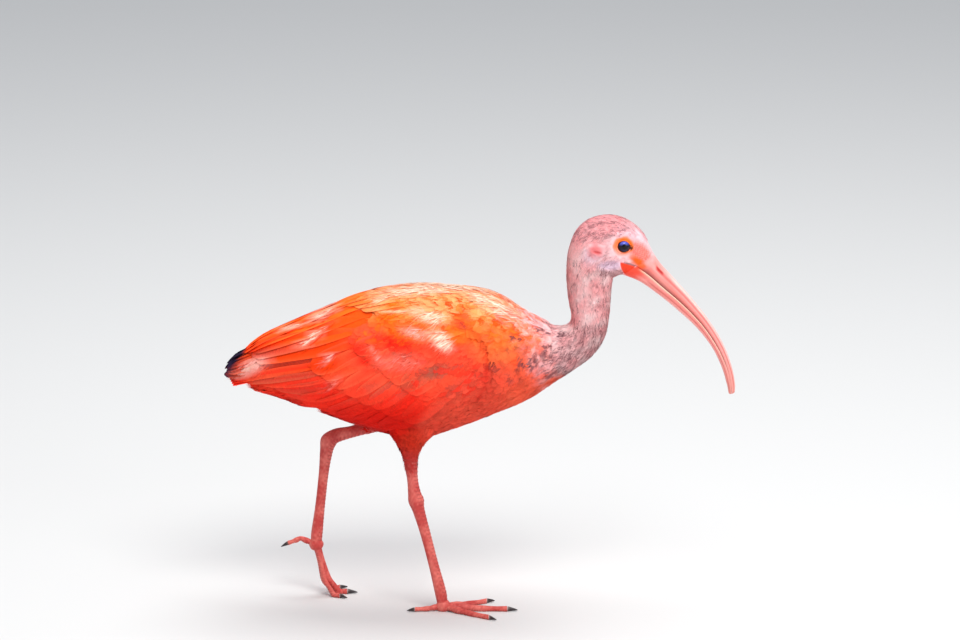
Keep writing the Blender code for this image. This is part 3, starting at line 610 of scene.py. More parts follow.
BARB_RANGE = 900  # how far apart the vanes are in their pattern of barbs
WISP_SHARES, WISP_TURNS, WISP_LIFT = (0.3, 0.97), (12, 38), 0.15
LEAST_STRIDE = 5  # of one station or radian where a surface narrows


def over_crease(path):
    """How far vanes stand out at the crease: the breast's lie over the wing's front."""
    ahead, plain = crease_distance(*side_view(path[:, 0]))
    over = smooth(9, 12, ahead) * smooth(36, 16, ahead)
    under = smooth(12, 9, ahead) * smooth(-26, -6, ahead)
    return plain * (0.7 * over - 0.7 * under)


class Vanes:
    """Many vanes of one outline on one surface, laid along paths of places."""

    def __init__(self, surface, t, angle, outline, columns, width, lift, roll=0.0, camber=0.02,
                 ragged=0.1, rounding=0.16, rachis=0.0, barb_size=0.5):
        self.count, self.rows, self.columns = count, rows, wide = len(t), len(outline), len(columns)
        share, full = outline[:, :1], outline[:, 1:]
        path = surface.place(t, angle)
        normal = surface.directions(t, angle)[2]
        ahead = unit(np.gradient(path, axis=1))
        across = unit(np.cross(normal, ahead))
        uneven = 1 - 0.6 * ragged * draw.random((count, rows, wide)) * np.abs(columns)
        reach = width[:, None, None] / 2 * full * columns * uneven
        height = (lift + over_crease(path)[:, None])[..., None]
        height = height + np.asarray(roll)[..., None, None] * reach - camber * reach**2
        height = height + rachis * bell(columns / SHAFT) * (1 - share)
        # the tip is round, and its columns end at different lengths as loose barbs do
        length = norms(path[:, -1] - path[:, 0])[:, None, None]
        cut = rounding * np.abs(columns) ** 2.2 + 0.7 * ragged * draw.random((count, 1, wide))
        sweep = -cut * length * share**2
        self.path, self.ways = path, (ahead, across, normal)
        along, beside, out = (way[:, :, None] for way in self.ways)
        self.points = (path[:, :, None] + beside * reach[..., None] + out * height[..., None]
                       + along * sweep[..., None])
        # each vane takes the light much as the whole surface does, but for a small tilt of its own
        tilt = draw.normal(size=(2, count, 1, 1, 1)) * LIGHT_TILT
        self.facing = unit(out + beside * tilt[0] + along * tilt[1] + beside * (camber * reach)[..., None])
        self.share, self.edge, _ = np.broadcast_arrays(share, columns, reach)
        down = self.share * length - 0.8 * np.abs(reach)
        number = draw.uniform(0, BARB_RANGE, count)[:, None, None] + 0 * reach
        self.barbs = np.stack([down / barb_size, number, 0.25 * reach / barb_size], -1)
        self.turns = angle[:, 0]
        root = surface.unwrap(t[:, 0], angle[:, 0])[:, None, None]
        self.patches = np.clip(root + PATCH * np.stack([0.5 * self.edge, self.share - 0.5], -1), 0, 1)
        self.faces = [grid_faces(count, rows, wide)[:, ::-1]]

    def middle(self, values):
        return values[:, self.rows // 2, self.columns // 2]

    def colours(self, own=0.5, shade=0.0, spread=0.06, wear_and_sheen=1.0):
        """Each vane's colours. own is how far a vane keeps the colour of its own middle, shade how
        much darker its root is, and the last argument how pale its tip may be, from wear and painted sheen."""
        here = coat_colour(self.points)
        colour = here * (1 - own) + self.middle(here)[:, None, None] * own
        vary = draw.normal(size=(2, self.count, 1, 1, 1))
        colour = colour * (1 + spread * vary[0]) * (1 + 0.8 * spread * vary[1] * np.array((0.0, 1.0, 1.0)))
        colour = blotched(colour, self.points, draw.random((self.count, 1, 1)))
        colour = colour * (1 - shade * (1 - self.share))[..., None]
        # tips paler from wear and painted sheen; edges paler too, a painted light that lifts the shade
        # between overlapping vanes
        amount = wear_and_sheen * draw.random((self.count, 1, 1)) ** 0.5
        return worn_and_sheen_tip(colour, self.points, amount * (0.2 + 0.6 * self.share + 0.5 * np.abs(self.edge) ** 3))


def wisps(vanes, colours, each, length, width):
    """Thin free barbs over vanes, as one part."""
    total = vanes.count * each
    owner = np.repeat(np.arange(vanes.count), each)
    row = draw.uniform(*WISP_SHARES, total) * (vanes.rows - 1)
    side = draw.choice((-1.0, 1.0), total)
    low = np.minimum(row.astype(int), vanes.rows - 2)
    part = (row - low)[:, None]
    column = vanes.columns // 2 + np.where(draw.random(total) < 0.5, 0, side.astype(int))

    def along(values, *at):
        return values[(owner, low, *at)] * (1 - part) + values[(owner, low + 1, *at)] * part

    start = along(vanes.points, column)
    ahead, across, normal = (along(way) for way in vanes.ways)
    turn = np.radians(draw.uniform(*WISP_TURNS, total))[:, None]
    heading = ahead * np.cos(turn) + across * side[:, None] * np.sin(turn)
    long = (length * draw.uniform(0.6, 1.2, total))[:, None]
    beside = np.cross(normal, heading) * width / 2
    lifted = start + normal * WISP_LIFT
    middle = lifted + heading * long * 0.55 + normal * 0.1 * draw.random((total, 1))
    end = lifted + heading * long + ahead * long * 0.15 - normal * 0.05
    spots = (lifted - beside * 0.6, lifted + beside * 0.6, middle + beside * 0.5, middle - beside * 0.5, end)
    first = np.arange(total)[:, None] * len(spots)
    at = owner, low, column
    tone = colours[at] * draw.uniform(0.92, 1.15, (total, 1))
    # free barbs made pale from wear and from a painted sheen on the upper body
    tone = worn_and_sheen_tip(tone, start, 0.75 * draw.random(total) ** 2)
    same = (tone, vanes.patches[at], vanes.barbs[at], vanes.facing[at])
    repeated = [np.repeat(values[:, None], len(spots), 1) for values in same]
    return [first + (3, 2, 1, 0), first + (4, 2, 3)], [np.stack(spots, 1), *repeated]


def coat_piece(name, vanes, colours, surface, slot, wisp=None):
    """One piece of the coat from vanes, with free barbs if wisp gives their number and size."""
    parts = [(vanes.faces, [vanes.points, colours, vanes.patches, vanes.barbs, vanes.facing])]
    if wisp:
        parts.append(wisps(vanes, colours, *wisp))
    faces, layers = joined(parts)
    new_piece(name, faces, surface, slot, *layers)


def laid(surface, places, length, droop, outline, end=-math.inf):
    """Paths from scattered roots along the lie: back, and down the sides by droop radians. They
    reach no farther back than station end."""
    t, angle = places.T
    along, around, _ = surface.directions(t, angle)
    back = np.cos(droop) * length / np.maximum(norms(along), LEAST_STRIDE)
    lower = np.sin(droop) * length / np.maximum(norms(around), LEAST_STRIDE)
    down = np.sign(angle) * np.minimum(1, 6 * np.abs(np.sin(angle)))
    share = outline[:, 0]
    t = t[:, None] - back[:, None] * share
    return t + np.maximum(0, end - t[:, -1:]), angle[:, None] + (lower * down)[:, None] * share


def raised(outline, root, tip, bend, vary, count):
    """Heights of vanes from root to tip, a little different for each."""
    root, tip = np.reshape(root, (-1, 1)), np.reshape(tip, (-1, 1))
    return root + (tip - root) * outline[:, 0] ** bend + vary * draw.normal(size=(count, 1))


TORSO_DEPTH, NECK_DEPTH, HEAD_DEPTH = 1.7, 1.2, 0.5
BILL_LAP, BILL_LAP_DEPTH = 0.22, -0.35
SHELL_THICKNESS = 0.8
BODY_SIDES, TORSO_ROWS, HEAD_ROWS = 180, 90, 170
MAP_SHARE = 0.48  # of the bake's map for each part of the skin


def coat_depth(t):
    deep = TORSO_DEPTH + (NECK_DEPTH - TORSO_DEPTH) * smooth(6, 9, t)
    return (deep + (HEAD_DEPTH - deep) * smooth(12, 14.5, t)) * smooth(19.2, 17.8, t)


def mouth_line_distance(x, z):
    """Distance in the side view from the head's part of the mouth line."""
    root = BILL[0]
    line = root[:2] + (root[2:4] - root[:2]) * root[5] - MOUTH_CORNER
    dx, dz = x - MOUTH_CORNER[0], z - MOUTH_CORNER[1]
    share = np.clip((dx * line[0] + dz * line[1]) / (line @ line), 0, 1)
    return np.hypot(dx - share * line[0], dz - share * line[1])


# Ovals of the head that stand out or lie in: brow, ear, its opening, cheek, jaw line and lore.
HEAD_RELIEF = (
    (0.9, (121, 336.5), (13, 2.6), -4), (2.4, (98.5, 322.5), (8.5, 6.5), -14),
    (-1.0, (100.5, 320.5), (4.5, 1.2), -10), (0.6, (113, 306), (13, 4), 4),
    (-0.6, (112, 311), (15, 1.3), 6), (-0.5, (134, 317), (9, 1.6), -42),
)


def head_relief(points, normal):
    """Moves the head's skin in and out: eye socket, ovals, wrinkles and mouth."""
    x, z = points[..., 0], points[..., 2]
    rise = -1.1 * bell((np.hypot(x - EYE[0], z - EYE[2]) - 3) / 6.5)
    for depth, *place in HEAD_RELIEF:
        rise += depth * oval(x, z, *place)
    rise += 0.16 * ripple(points, 3.5, 6) + 0.12 * ripple(points, 1.8, 7)
    rise -= 0.7 * bell(mouth_line_distance(x, z))
    return points + normal * (rise * smooth(3, 9, np.abs(points[..., 1])))[..., None]


def loft_grid(surface, t, sides, grow):
    """Points round a surface at stations t, as rows by sides points, with their places."""
    tt, aa = np.meshgrid(t, np.linspace(-math.pi, math.pi, sides, endpoint=False), indexing="ij")
    return surface.place(tt, aa, grow), tt, aa


def closed_loft(points, *values):
    """The faces of a loft grid with a fan over each end, and its points and values with two more
    rows, for the fans' middles."""
    rows, sides = points.shape[:2]
    first, top = rows * sides, (rows - 1) * sides
    i = np.arange(sides)
    j = (i + 1) % sides
    fans = [np.stack([j, i, 0 * i + first], 1), np.stack([top + i, top + j, 0 * i + first + 1], 1)]
    layers = [np.vstack([points.reshape(-1, 3), points[0].mean(0), points[-1].mean(0)])]
    for value in values:
        flat = value.reshape(-1, value.shape[-1])
        layers.append(np.vstack([flat, flat[:1], flat[-1:]]))
    return [grid_faces(1, rows, sides, closed=True), *fans], layers


def skin_of(surface, points, t, angle, corner):
    """A part of the skin. corner is that of its own square on the bake's map."""
    faces, (points, patches) = closed_loft(points, surface.unwrap(t, angle))
    return faces, [points, coat_colour(points), patches * MAP_SHARE + corner]


def body_skin():
    torso, head = np.linspace(0, NECK_TOP, TORSO_ROWS), np.linspace(NECK_TOP, BILL_ROOT, HEAD_ROWS)
    stations = np.concatenate([torso, head[1:]])
    grow = 0.12 * smooth(18, 19, stations) - coat_depth(stations)
    points, t, angle = loft_grid(BODY_SURFACE, stations, BODY_SIDES, grow[:, None])
    points = head_relief(points, BODY_SURFACE.directions(t, angle)[2])
    # a last ring lies over the bill's base
    lap = section_surface(BILL).place(0 * angle[-1] + BILL_LAP, angle[-1], BILL_LAP_DEPTH)
    pairs = (points, lap[None]), (t, t[-1:]), (angle, angle[-1:])
    return skin_of(BODY_SURFACE, *map(np.concatenate, pairs), (0, 0))


def wing_skin(side):
    """A thin closed shell under a wing's feathers."""
    t, share = np.linspace(2.2, 9.2, 60)[:, None], np.linspace(0, 1, 40)
    past, ahead = smooth(3.1, 2.0, t), smooth(8.0, 9.4, t)
    top, low = 6 + 20 * past + 30 * ahead, 128 - 34 * past - 34 * ahead
    angle = side * np.radians(top + (low - top) * share)
    depth = 1.8 + 2.2 * smooth(3.6, 2.4, t) + 1.4 * smooth(8.2, 9.2, t) + 6 * smooth(0.8, 1, share) ** 2
    t = np.broadcast_to(t, angle.shape)
    outer, inner = (WING_SURFACE.place(t, angle, -depth - more) for more in (0, SHELL_THICKNESS))
    loop = np.concatenate([outer, inner[:, ::-1]], 1)[:, ::side]
    t, angle = np.concatenate([t, t], 1), np.concatenate([angle, angle[:, ::-1]], 1)
    return skin_of(WING_SURFACE, loop, t, angle, (0, 0.5))


def make_skin():
    """One skin under the whole coat, in place of the nodes of flesh and feathers."""
    tail = skin_of(TAIL_SURFACE, *loft_grid(TAIL_SURFACE, np.linspace(0, 4, 30), 48, -2.0), (0.5, 0))
    legs = [skin_of(leg, *loft_grid(leg, np.linspace(0, THIGH_END + 0.2, 24), 32, -1.5), (0.5, 0.5))
            for leg in LEG_SURFACES.values()]
    faces, (points, colours, patches) = joined([body_skin(), tail, wing_skin(1), wing_skin(-1), *legs])
    # painted shade along the mouth's crease on the head
    dark = bell(mouth_line_distance(points[:, 0], points[:, 2]) / 0.9) * smooth(3, 7, np.abs(points[:, 1]))
    colours = mixed(colours, MOUTH_SHADE, 0.75 * dark)
    skin = new_piece("skin", faces, SKIN, "plumage", points, colours, patches)
    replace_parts(skin, "torso", "neck_lower", "neck_upper", "head", "thigh_left", "thigh_right",
                "wing_left", "wing_right", "tail")
    return skin


# Rows of big feathers on a wing, as in the solids but closer set: name, how many, places (x, degrees
# from the top) of the first and last one's root and tip, how much lower in degrees the tips in
# between lie, width, and lift at root and tip.
WING_ROWS = (
    ("lowest_primary", 6, (-112, 6), (-213, 6), (-104, 66), (-215, 88), 0, 16, (-8, -10.5)),
    ("inner_primary", 7, (-112, 6), (-213, 5), (-104, 66), (-215, 74), 0, 13, (-8, -4.5)),
    ("primary", 8, (-112, 12), (-219, 5), (-104, 76), (-221.5, 76), 0, 14, (-3.8, 2.2)),
    ("secondary", 12, (-112, 66), (-221, 88), (-44, 104), (-88, 146), 20, 21, (-3.6, -0.7)),
    ("tertial", 5, (-92, 4), (-208, 5), (-98, 58), (-200, 52), 0, 28, (-1.8, -0.1)),
    ("greater_covert", 9, (-94, 62), (-150, 84), (-20, 92), (-66, 128), 6, 21, (-3.4, -0.2)),
    ("median_covert", 10, (-60, 58), (-108, 70), (0, 84), (-40, 112), 4, 18, (-3.2, 0.1)),
    ("scapular", 9, (-60, 3), (-128, 5), (-6, 47), (-62, 58), 0, 23, (-2.6, -0.2)),
)
WANDER = (2.5, 1.2)  # of tips, in x and in degrees
OUTER_WISP, INNER_WISP = (10, 4.0, 0.3), (60, 7.0, 0.4)  # free barbs: number, length and width
LOOSE_LEAST, LOOSE_DENSITY, LOOSE_SPREAD, LOOSE_SHIFT = 14, 0.45, 0.42, 5
LOOSE_LENGTHS, LOOSE_WIDTHS = (8, 19), (0.5, 1.3)


def wing_station(x):
    return (x - WING_SHAPE[0, 0]) / STATION_STEP


def row_paths(side, count, first_root, first_tip, last_root, last_tip, bow):
    """Paths of a row's vanes from its two ends, with small differences among them."""
    share = np.linspace(0, 1, count)[:, None]
    root = np.array(first_root) * (1 - share) + np.array(last_root) * share
    tip = np.array(first_tip) * (1 - share) + np.array(last_tip) * share
    tip = tip + draw.uniform(-1, 1, tip.shape) * WANDER
    tip[:, 1] += bow * np.sin(math.pi * share[:, 0])
    along = FLIGHT[:, :1]
    path = root[:, None] * (1 - along) + tip[:, None] * along
    return wing_station(path[..., 0]), side * np.radians(path[..., 1])


def black_tip(points):
    """1 on the wing's black tip, behind a slanting line in the side view."""
    x, h = side_view(points)
    return smooth(0.8, -0.8, x + 206.6 - 0.72 * (h - 226) + 0.8 * ripple(points, 3, 14))


def make_wings():
    for side, name in SIDES:
        for row, count, *ends, bow, width, lift in WING_ROWS:
            outer = row.endswith("primary")
            t, angle = row_paths(side, count, *ends, bow)
            heights = raised(FLIGHT, *lift, 7 if outer else 0.3, 0.06, count)
            widths = width * draw.uniform(0.92, 1.08, count)
            roll = -side * (0.006 if row == "tertial" else 0.016) + 0.004 * draw.normal(size=count)
            vanes = Vanes(WING_SURFACE, t, angle, FLIGHT, FLIGHT_COLUMNS, widths, heights, roll, camber=0.002,
                          ragged=0.025, rounding=0.07, rachis=0.12, barb_size=0.8)
            # pale tips from wear and painted sheen on every row but the primaries
            colours = vanes.colours(own=0.3, spread=0.05, wear_and_sheen=float(not outer))
            # painted light along the vanes' edges, stronger higher up, lifting the shade between them
            lit_from_above = smooth(172, 205, side_view(vanes.points)[1])
            colours = mixed(colours, PAINTED_EDGE_LIGHT, 0.2 * lit_from_above * np.abs(vanes.edge) ** 5 * vanes.share)
            if outer or row == "secondary":
                colours = mixed(colours, TIP_BLACK, black_tip(vanes.points))
            wisp = OUTER_WISP if outer else INNER_WISP
            coat_piece(f"{row}_feathers_{name}", vanes, colours, FEATHER, "plumage", wisp)


def wing_place(x, h, side):
    """The wing's place whose side view is x and h."""
    t, angles = wing_station(x), np.radians(np.linspace(2, 120, 60))
    heights = side_view(WING_SURFACE.place(np.repeat(t[:, None], len(angles), 1), angles))[1]
    found = [np.interp(-want, -row, angles) for want, row in zip(h, heights)]
    return np.stack([t, side * np.array(found)], 1)


def make_loose_barbs():
    """Long pale barbs that have come loose at the pale patches: partly wear, partly a painted sheen."""
    for side, name in SIDES:
        places = []
        for middle, half_sizes, tilt, _, strength in WEAR_AND_SHEEN_PATCHES:
            number = int(LOOSE_LEAST + half_sizes[0] * half_sizes[1] * LOOSE_DENSITY * strength)
            along, across = (draw.normal(size=(number, 2)) * LOOSE_SPREAD * half_sizes).T
            turn = math.radians(tilt)
            x = middle[0] + along * math.cos(turn) - across * math.sin(turn) + LOOSE_SHIFT
            h = middle[1] + along * math.sin(turn) + across * math.cos(turn)
            places.append(wing_place(x, h, side))
        places = np.vstack(places)
        count = len(places)
        droop = np.radians(5 + 0.42 * np.degrees(np.abs(places[:, 1]))) + 0.22 * draw.normal(size=count)
        t, angle = laid(WING_SURFACE, places, draw.uniform(*LOOSE_LENGTHS, count), droop, SHORT, end=0.5)
        angle = angle + side * 0.03 * draw.normal(size=(count, 1)) * SHORT[:, 0] ** 2
        vanes = Vanes(WING_SURFACE, t, angle, SHORT, NARROW_COLUMNS, draw.uniform(*LOOSE_WIDTHS, count),
                      0.1 + 0.8 * SHORT[None, :, 0] ** 0.5, camber=0.1)
        colours = worn_and_sheen_tip(coat_colour(vanes.points), vanes.points, 0.6 + 0.9 * draw.random((count, 1, 1)))
        colours = mixed(colours, TIP_BLACK, black_tip(vanes.points))
        coat_piece(f"loose_barbs_{name}", vanes, colours, FEATHER, "plumage")


# Coats of small feathers. The gap closes and the feathers shrink between the stations of change.
# lengths and widths are limits among feathers; droop, rise and roll vary by so much. wisp is the
# number, length and width of free barbs.
Coat = namedtuple(
    "Coat", "stations gap closing shrink change length lengths width widths droop rise roll bend camber "
    "ragged barb_size wisp own shade outline columns surface slot",
    defaults=(0.5, 0.0, CONTOUR, LEAF_COLUMNS, FEATHER, "plumage"))
NEARLY, MORE, ALL_ROUND = (0.85, 1.15), (0.8, 1.2), (-math.pi, math.pi)
TUFT = (SHORT, NARROW_COLUMNS, DOWN, "neck_plumage")
COATS = {
    "lesser_coverts": Coat((4.2, 9.8), 4.6, 1.6, 0.4, (8.2, 9.2), 15, NEARLY, 10, NEARLY, 0.08, 0.12, 0.06,
                           0.4, 0.02, 0.25, 0.6, (16, 5.5, 0.35)),
    "body_feathers": Coat((0.2, 8.6), 4.6, 1.5, 0.42, (5.0, 8.4), 15, NEARLY, 9, NEARLY, 0.1, 0.12, 0.07,
                          0.4, 0.02, 0.35, 0.5, (16, 5.5, 0.35)),
    "neck_feathers": Coat((6.6, 13.6), 2.2, 0.5, 0.35, (8, 13), 9.5, (0.8, 1.25), 2.5, MORE, 0.14, 0.14, 0.12,
                          0.8, 0.06, 0.2, 0.3, (7, 3.6, 0.25), 0.3, 0.14, *TUFT),
    "head_feathers": Coat((13.0, 18.6), 1.3, 0, 0.4, (13.5, 17.5), 5.6, (0.75, 1.25), 1.6, MORE, 0.16, 0.08,
                          0.15, 0.8, 0.1, 0.2, 0.25, (3, 2.2, 0.16), 0.3, 0.12, *TUFT),
    "thigh_feathers": Coat((0.8, THIGH_END + 0.1), 2.8, 0, 0.4, (2.0, 4.0), -9, MORE, 5, NEARLY, 0.1, 0.15,
                           0.1, 0.5, 0.03, 0.3, 0.4, (8, 4.0, 0.25), columns=NARROW_COLUMNS),
    "tail_coverts": Coat((0.3, 3.9), 5.2, 0, 0, (0, 1), 19, NEARLY, 9.5, NEARLY, 0.08, 0.2, 0.05,
                         0.5, 0.02, 0.3, 0.6, (16, 5.5, 0.35)),
}
JITTER = 0.35  # of scattered places, as a share of the gap
LINE_GAP = 0.8  # between lines of places, as a share of the gap
RUN = 48  # places measured on each line


def scatter(surface, stations, angle_range, spacing, keep=None):
    """Evenly jittered places on part of a surface, with the gap that spacing gives at a station."""
    angles = np.linspace(*angle_range, RUN)
    lines, t = [], stations[0]
    while t < stations[1]:
        along, around, _ = surface.directions(np.full(RUN, t), angles)
        breadth = norms(around)
        total = np.concatenate([[0], np.cumsum((breadth[1:] + breadth[:-1]) / 2 * np.diff(angles))])
        number = max(2, int(total[-1] / spacing(t)))
        wanted = (np.arange(number) + 0.5 * (len(lines) % 2) + 0.25) / number * total[-1]
        lines.append(np.stack([np.full(number, t), np.interp(wanted, total, angles)], 1))
        t += spacing(t) * LINE_GAP / np.percentile(norms(along), 80)
    places = np.vstack(lines)
    along, around, _ = surface.directions(*places.T)
    stride = np.maximum(np.stack([norms(along), norms(around)], 1), 4)
    places += draw.uniform(-JITTER, JITTER, places.shape) * spacing(places[:, :1]) / stride
    return places[keep(*places.T)] if keep else places


def flecked(vanes, colours):
    """Turns some tufts dark, where the neck and crown have flecks."""
    share = fleck_share(vanes.middle(vanes.points))
    # streaks run along the lie, so they are narrow round the body and long along it
    flow = np.stack([vanes.path[:, 0] @ np.array((0.0, 0.0, 0.3)), vanes.turns * 17], -1)
    level = 0.7 * ripple(flow, 3.4, 13) + 0.5 * draw.normal(size=vanes.count)
    dark = smooth(0, 0.4, level - 1.2 + 2.1 * share) * smooth(0.02, 0.1, share)
    dark = (dark * draw.uniform(0.65, 1.0, vanes.count))[:, None, None]
    inner = smooth(1.05, 0.5, np.abs(vanes.edge)) * smooth(0.05, 0.4, vanes.share)
    return mixed(colours, FLECK, dark * inner)


def lay_coat(name, coat, surface, angles, lie, keep=None, lean=0.0, end=-math.inf, flecks=True):
    """One piece of small feathers on part of a surface. lie gives at places their size, their droop
    in radians, their height at root and tip, and how far their tips stand out besides."""
    def change(t):
        return smooth(*coat.change, t)

    places = scatter(surface, coat.stations, angles, lambda t: coat.gap - coat.closing * change(t), keep)
    count = len(places)
    size, droop, root, tip, proud = lie(*places.T)
    size = size * (1 - coat.shrink * change(places[:, 0]))
    length = coat.length * size * draw.uniform(*coat.lengths, count)
    droop = droop + coat.droop * draw.normal(size=count)
    t, angle = laid(surface, places, length, droop, coat.outline, end)
    heights = raised(coat.outline, root, tip, coat.bend, coat.rise, count)
    heights = heights + np.reshape(proud, (-1, 1)) * coat.outline[:, 0]
    width = coat.width * size * draw.uniform(*coat.widths, count)
    roll = lean + coat.roll * draw.normal(size=count)
    vanes = Vanes(surface, t, angle, coat.outline, coat.columns, width, heights, roll, coat.camber,
                  coat.ragged, barb_size=coat.barb_size)
    colours = vanes.colours(coat.own, coat.shade)
    if flecks:
        colours = flecked(vanes, colours)
    coat_piece(name, vanes, colours, coat.surface, coat.slot, coat.wisp)


def covert_place(t, angle):
    """True where the lesser coverts grow, on the wings and the mantle between them."""
    degrees, x = np.degrees(np.abs(angle)), WING_SHAPE[0, 0] + t * STATION_STEP
    rear = -34 - 0.55 * np.maximum(0, 60 - degrees) + 0.42 * np.maximum(0, degrees - 60)
    rear = rear - 36 * bell((degrees - 54) / 12)
    front = 66 - 0.006 * (degrees - 40) ** 2
    return (x > rear - 30) & (x < front) & (degrees < 116)


def covert_lie(t, angle):
    degrees = np.degrees(np.abs(angle))
    fade, under = smooth(8.4, 9.8, t), smooth(94, 116, degrees)
    droop = np.radians(4 + 0.42 * np.clip(degrees, 0, 105))
    return 1, droop, -2.0 - 1.4 * fade - 2.5 * under, 0.1 - 1.3 * fade - 4 * under, 0


def body_place(t, angle):
    """True on breast, belly, flanks and rump."""
    degrees, x = np.degrees(np.abs(angle)), np.interp(t, np.arange(len(BODY)), BODY[:, 0])
    return (x > 24) | (degrees > 96) | (degrees < 14)


def body_lie(t, angle):
    return 1, 0.16 * np.sin(np.abs(angle)), -coat_depth(t), 0.1 * coat_depth(t), 0


def bareness(points):
    """1 where the head's skin is bare, 0 where short feathers grow."""
    x, h = side_view(points)
    face = smooth(106, 114, x) * smooth(334, 329, h - 0.05 * (x - 120))
    cheek, malar = oval(x, h, (101, 317), (17, 12), 10), oval(x, h, (112, 306), (12, 6), 4)
    bare = np.clip(np.maximum.reduce([face, smooth(132, 138, x), cheek, malar]), 0, 1)
    return bare * smooth(2, 6, np.abs(points[:, 1]) + 4 * (points[:, 2] < 320))


def head_place(t, angle):
    """True on nape, crown and throat, and at a few places of the bare face."""
    points = BODY_SURFACE.place(t, angle)
    ring = np.hypot(points[:, 0] - EYE[0], points[:, 2] - EYE[2])
    few = 0.3 * smooth(134, 122, points[:, 0]) * smooth(9, 13, ring) * (1 - gape_share(*side_view(points)))
    return draw.random(len(t)) < np.maximum(1 - bareness(points), few)


def head_lie(t, angle):
    return 1 - 0.5 * bareness(BODY_SURFACE.place(t, angle)), 0, -0.5, 0.3, 0


def lay_halves(kind, lie, keep=None, surface=BODY_SURFACE, reach=math.pi, lean=0.0):
    for side, name in SIDES:
        lay_coat(f"{kind}_{name}", COATS[kind], surface, sorted((0.0, side * reach)), lie, keep, -side * lean)


def make_thigh_feathers():
    for name, surface in LEG_SURFACES.items():
        lay_coat(f"thigh_feathers_{name}", COATS["thigh_feathers"], surface, ALL_ROUND,
                 lambda t, angle: (1, 0, -1.6, 0.2, 0), flecks=False)


TAIL_PAIRS = 6
TAIL_ROOT_X, TAIL_TIP_X = -142.5, -222
TAIL_ROOT_Z, TAIL_TIP_Z = 219, 209
TAIL_HALF_WIDTH, TAIL_VANE_WIDTH, TAIL_LAYER = 23, 14, 1.1


def tail_lie(t, angle):
    return 1, 0, -1.8, 0.2, 7 * np.maximum(np.cos(angle), 0) * smooth(3.4, 1.4, t)


def make_tail():
    """Six pairs of tail feathers, and the coverts over and under their roots."""
    lay_coat("tail_coverts", COATS["tail_coverts"], TAIL_SURFACE, ALL_ROUND, tail_lie, end=0.02, flecks=False)
    pair, side = (part.reshape(-1, 1, 1) for part in np.meshgrid(range(TAIL_PAIRS), (1, -1), indexing="ij"))
    layer = np.where(pair > 0, pair + 1, side < 0)
    offset = side * (TAIL_HALF_WIDTH - TAIL_VANE_WIDTH / 2) / TAIL_PAIRS * (pair + 0.6)
    share, across = FLIGHT[:, :1], FLIGHT_COLUMNS
    shape = 2 * TAIL_PAIRS, len(share), len(across)
    reach = across * FLIGHT[:, 1:] * TAIL_VANE_WIDTH / 2 * (1 - 0.06 * draw.random(shape))
    x = TAIL_ROOT_X + (TAIL_TIP_X + 0.4 * np.abs(offset) - TAIL_ROOT_X) * share
    y = offset * (0.35 + 0.65 * share) + reach
    z = TAIL_ROOT_Z + (TAIL_TIP_Z - TAIL_ROOT_Z) * share - layer * TAIL_LAYER * (0.4 + 0.6 * share)
    z = z - 0.004 * reach**2 + 0.3 * bell(across / SHAFT) * (1 - share)
    points = np.stack(np.broadcast_arrays(x, y, z), -1)
    root = np.stack([0.5 + offset / 60, 0.1 + 0.03 * layer], -1)
    patches = root + PATCH * np.stack(np.broadcast_arrays(across * 0.5, share), -1)
    barbs = np.stack([(share * 80 - 0.8 * np.abs(reach)) / 0.8, 0 * y + 37 * layer + side, reach / 3], -1)
    new_piece("tail_feathers", [grid_faces(*shape)], FEATHER, "plumage", points, coat_colour(points),
              patches.reshape(-1, 2), barbs)


EYE_ROWS, EYE_SIDES = 48, 64


def make_eyes():
    for side, name in SIDES:
        # the pole points out of the head, a little forward
        pole = unit(np.array((0.12, side * 1.0, 0.02)))
        ahead = unit(np.cross(pole, (0, 0, 1.0)))
        above = np.cross(ahead, pole)
        lean = np.linspace(0.001, math.pi - 0.001, EYE_ROWS)[:, None, None]
        turn = circle(EYE_SIDES)[:, None]
        out = pole * np.cos(lean) + np.sin(lean) * (ahead * np.cos(turn) + above * np.sin(turn))
        points = EYE * (1, side, 1) + out * EYE_RADIUS
        away, level = EYE_RADIUS * np.sin(lean[..., 0]), points[..., 2] - EYE[2]
        colour = layered(
            IRIS_DARK,
            # painted reflections on the dark eye: a violet-blue one of the bright surround above, a dimmer
            # one low down
            (EYE_TOP_REFLECTION, smooth(0.4, 3.6, level)),
            (EYE_LOW_REFLECTION, smooth(-1.5, -3.5, level)),
            (PUPIL, smooth(2.5, 2.1, away) * (np.cos(lean[..., 0]) > 0)),
            (EYE_EDGE, smooth(4.3, 4.8, away)),
        )
        faces, layers = closed_loft(points, colour)
        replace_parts(new_piece(f"eye_{name}_ball", faces, EYE_WET, "eye", *layers), f"eye_{name}")


# The lids, ring by ring: distance out from the opening's edge, height over the skin, and share of the
# eyeball's height.
LID_PROFILE = (
    (0.0, 0.15, 1.0), (0.12, 0.5, 1.0), (0.4, 0.7, 0.9), (0.75, 0.6, 0.6), (1.0, 0.35, 0.35),
    (1.3, 0.5, 0.15), (1.7, 0.55, 0.0), (2.0, 0.3, 0.0), (2.35, 0.42, 0.0), (2.8, 0.35, 0.0),
    (3.4, 0.2, 0.0), (4.2, -0.3, 0.0), (4.8, -1.2, 0.0),
)
LID_POINTS, LID_DEPTH = 72, 1.2
LID_OPENING, LID_POINT, LID_TILT = 5.05, 2.0, -18
OUTSIDE = 60  # of the head, where the search for its skin starts


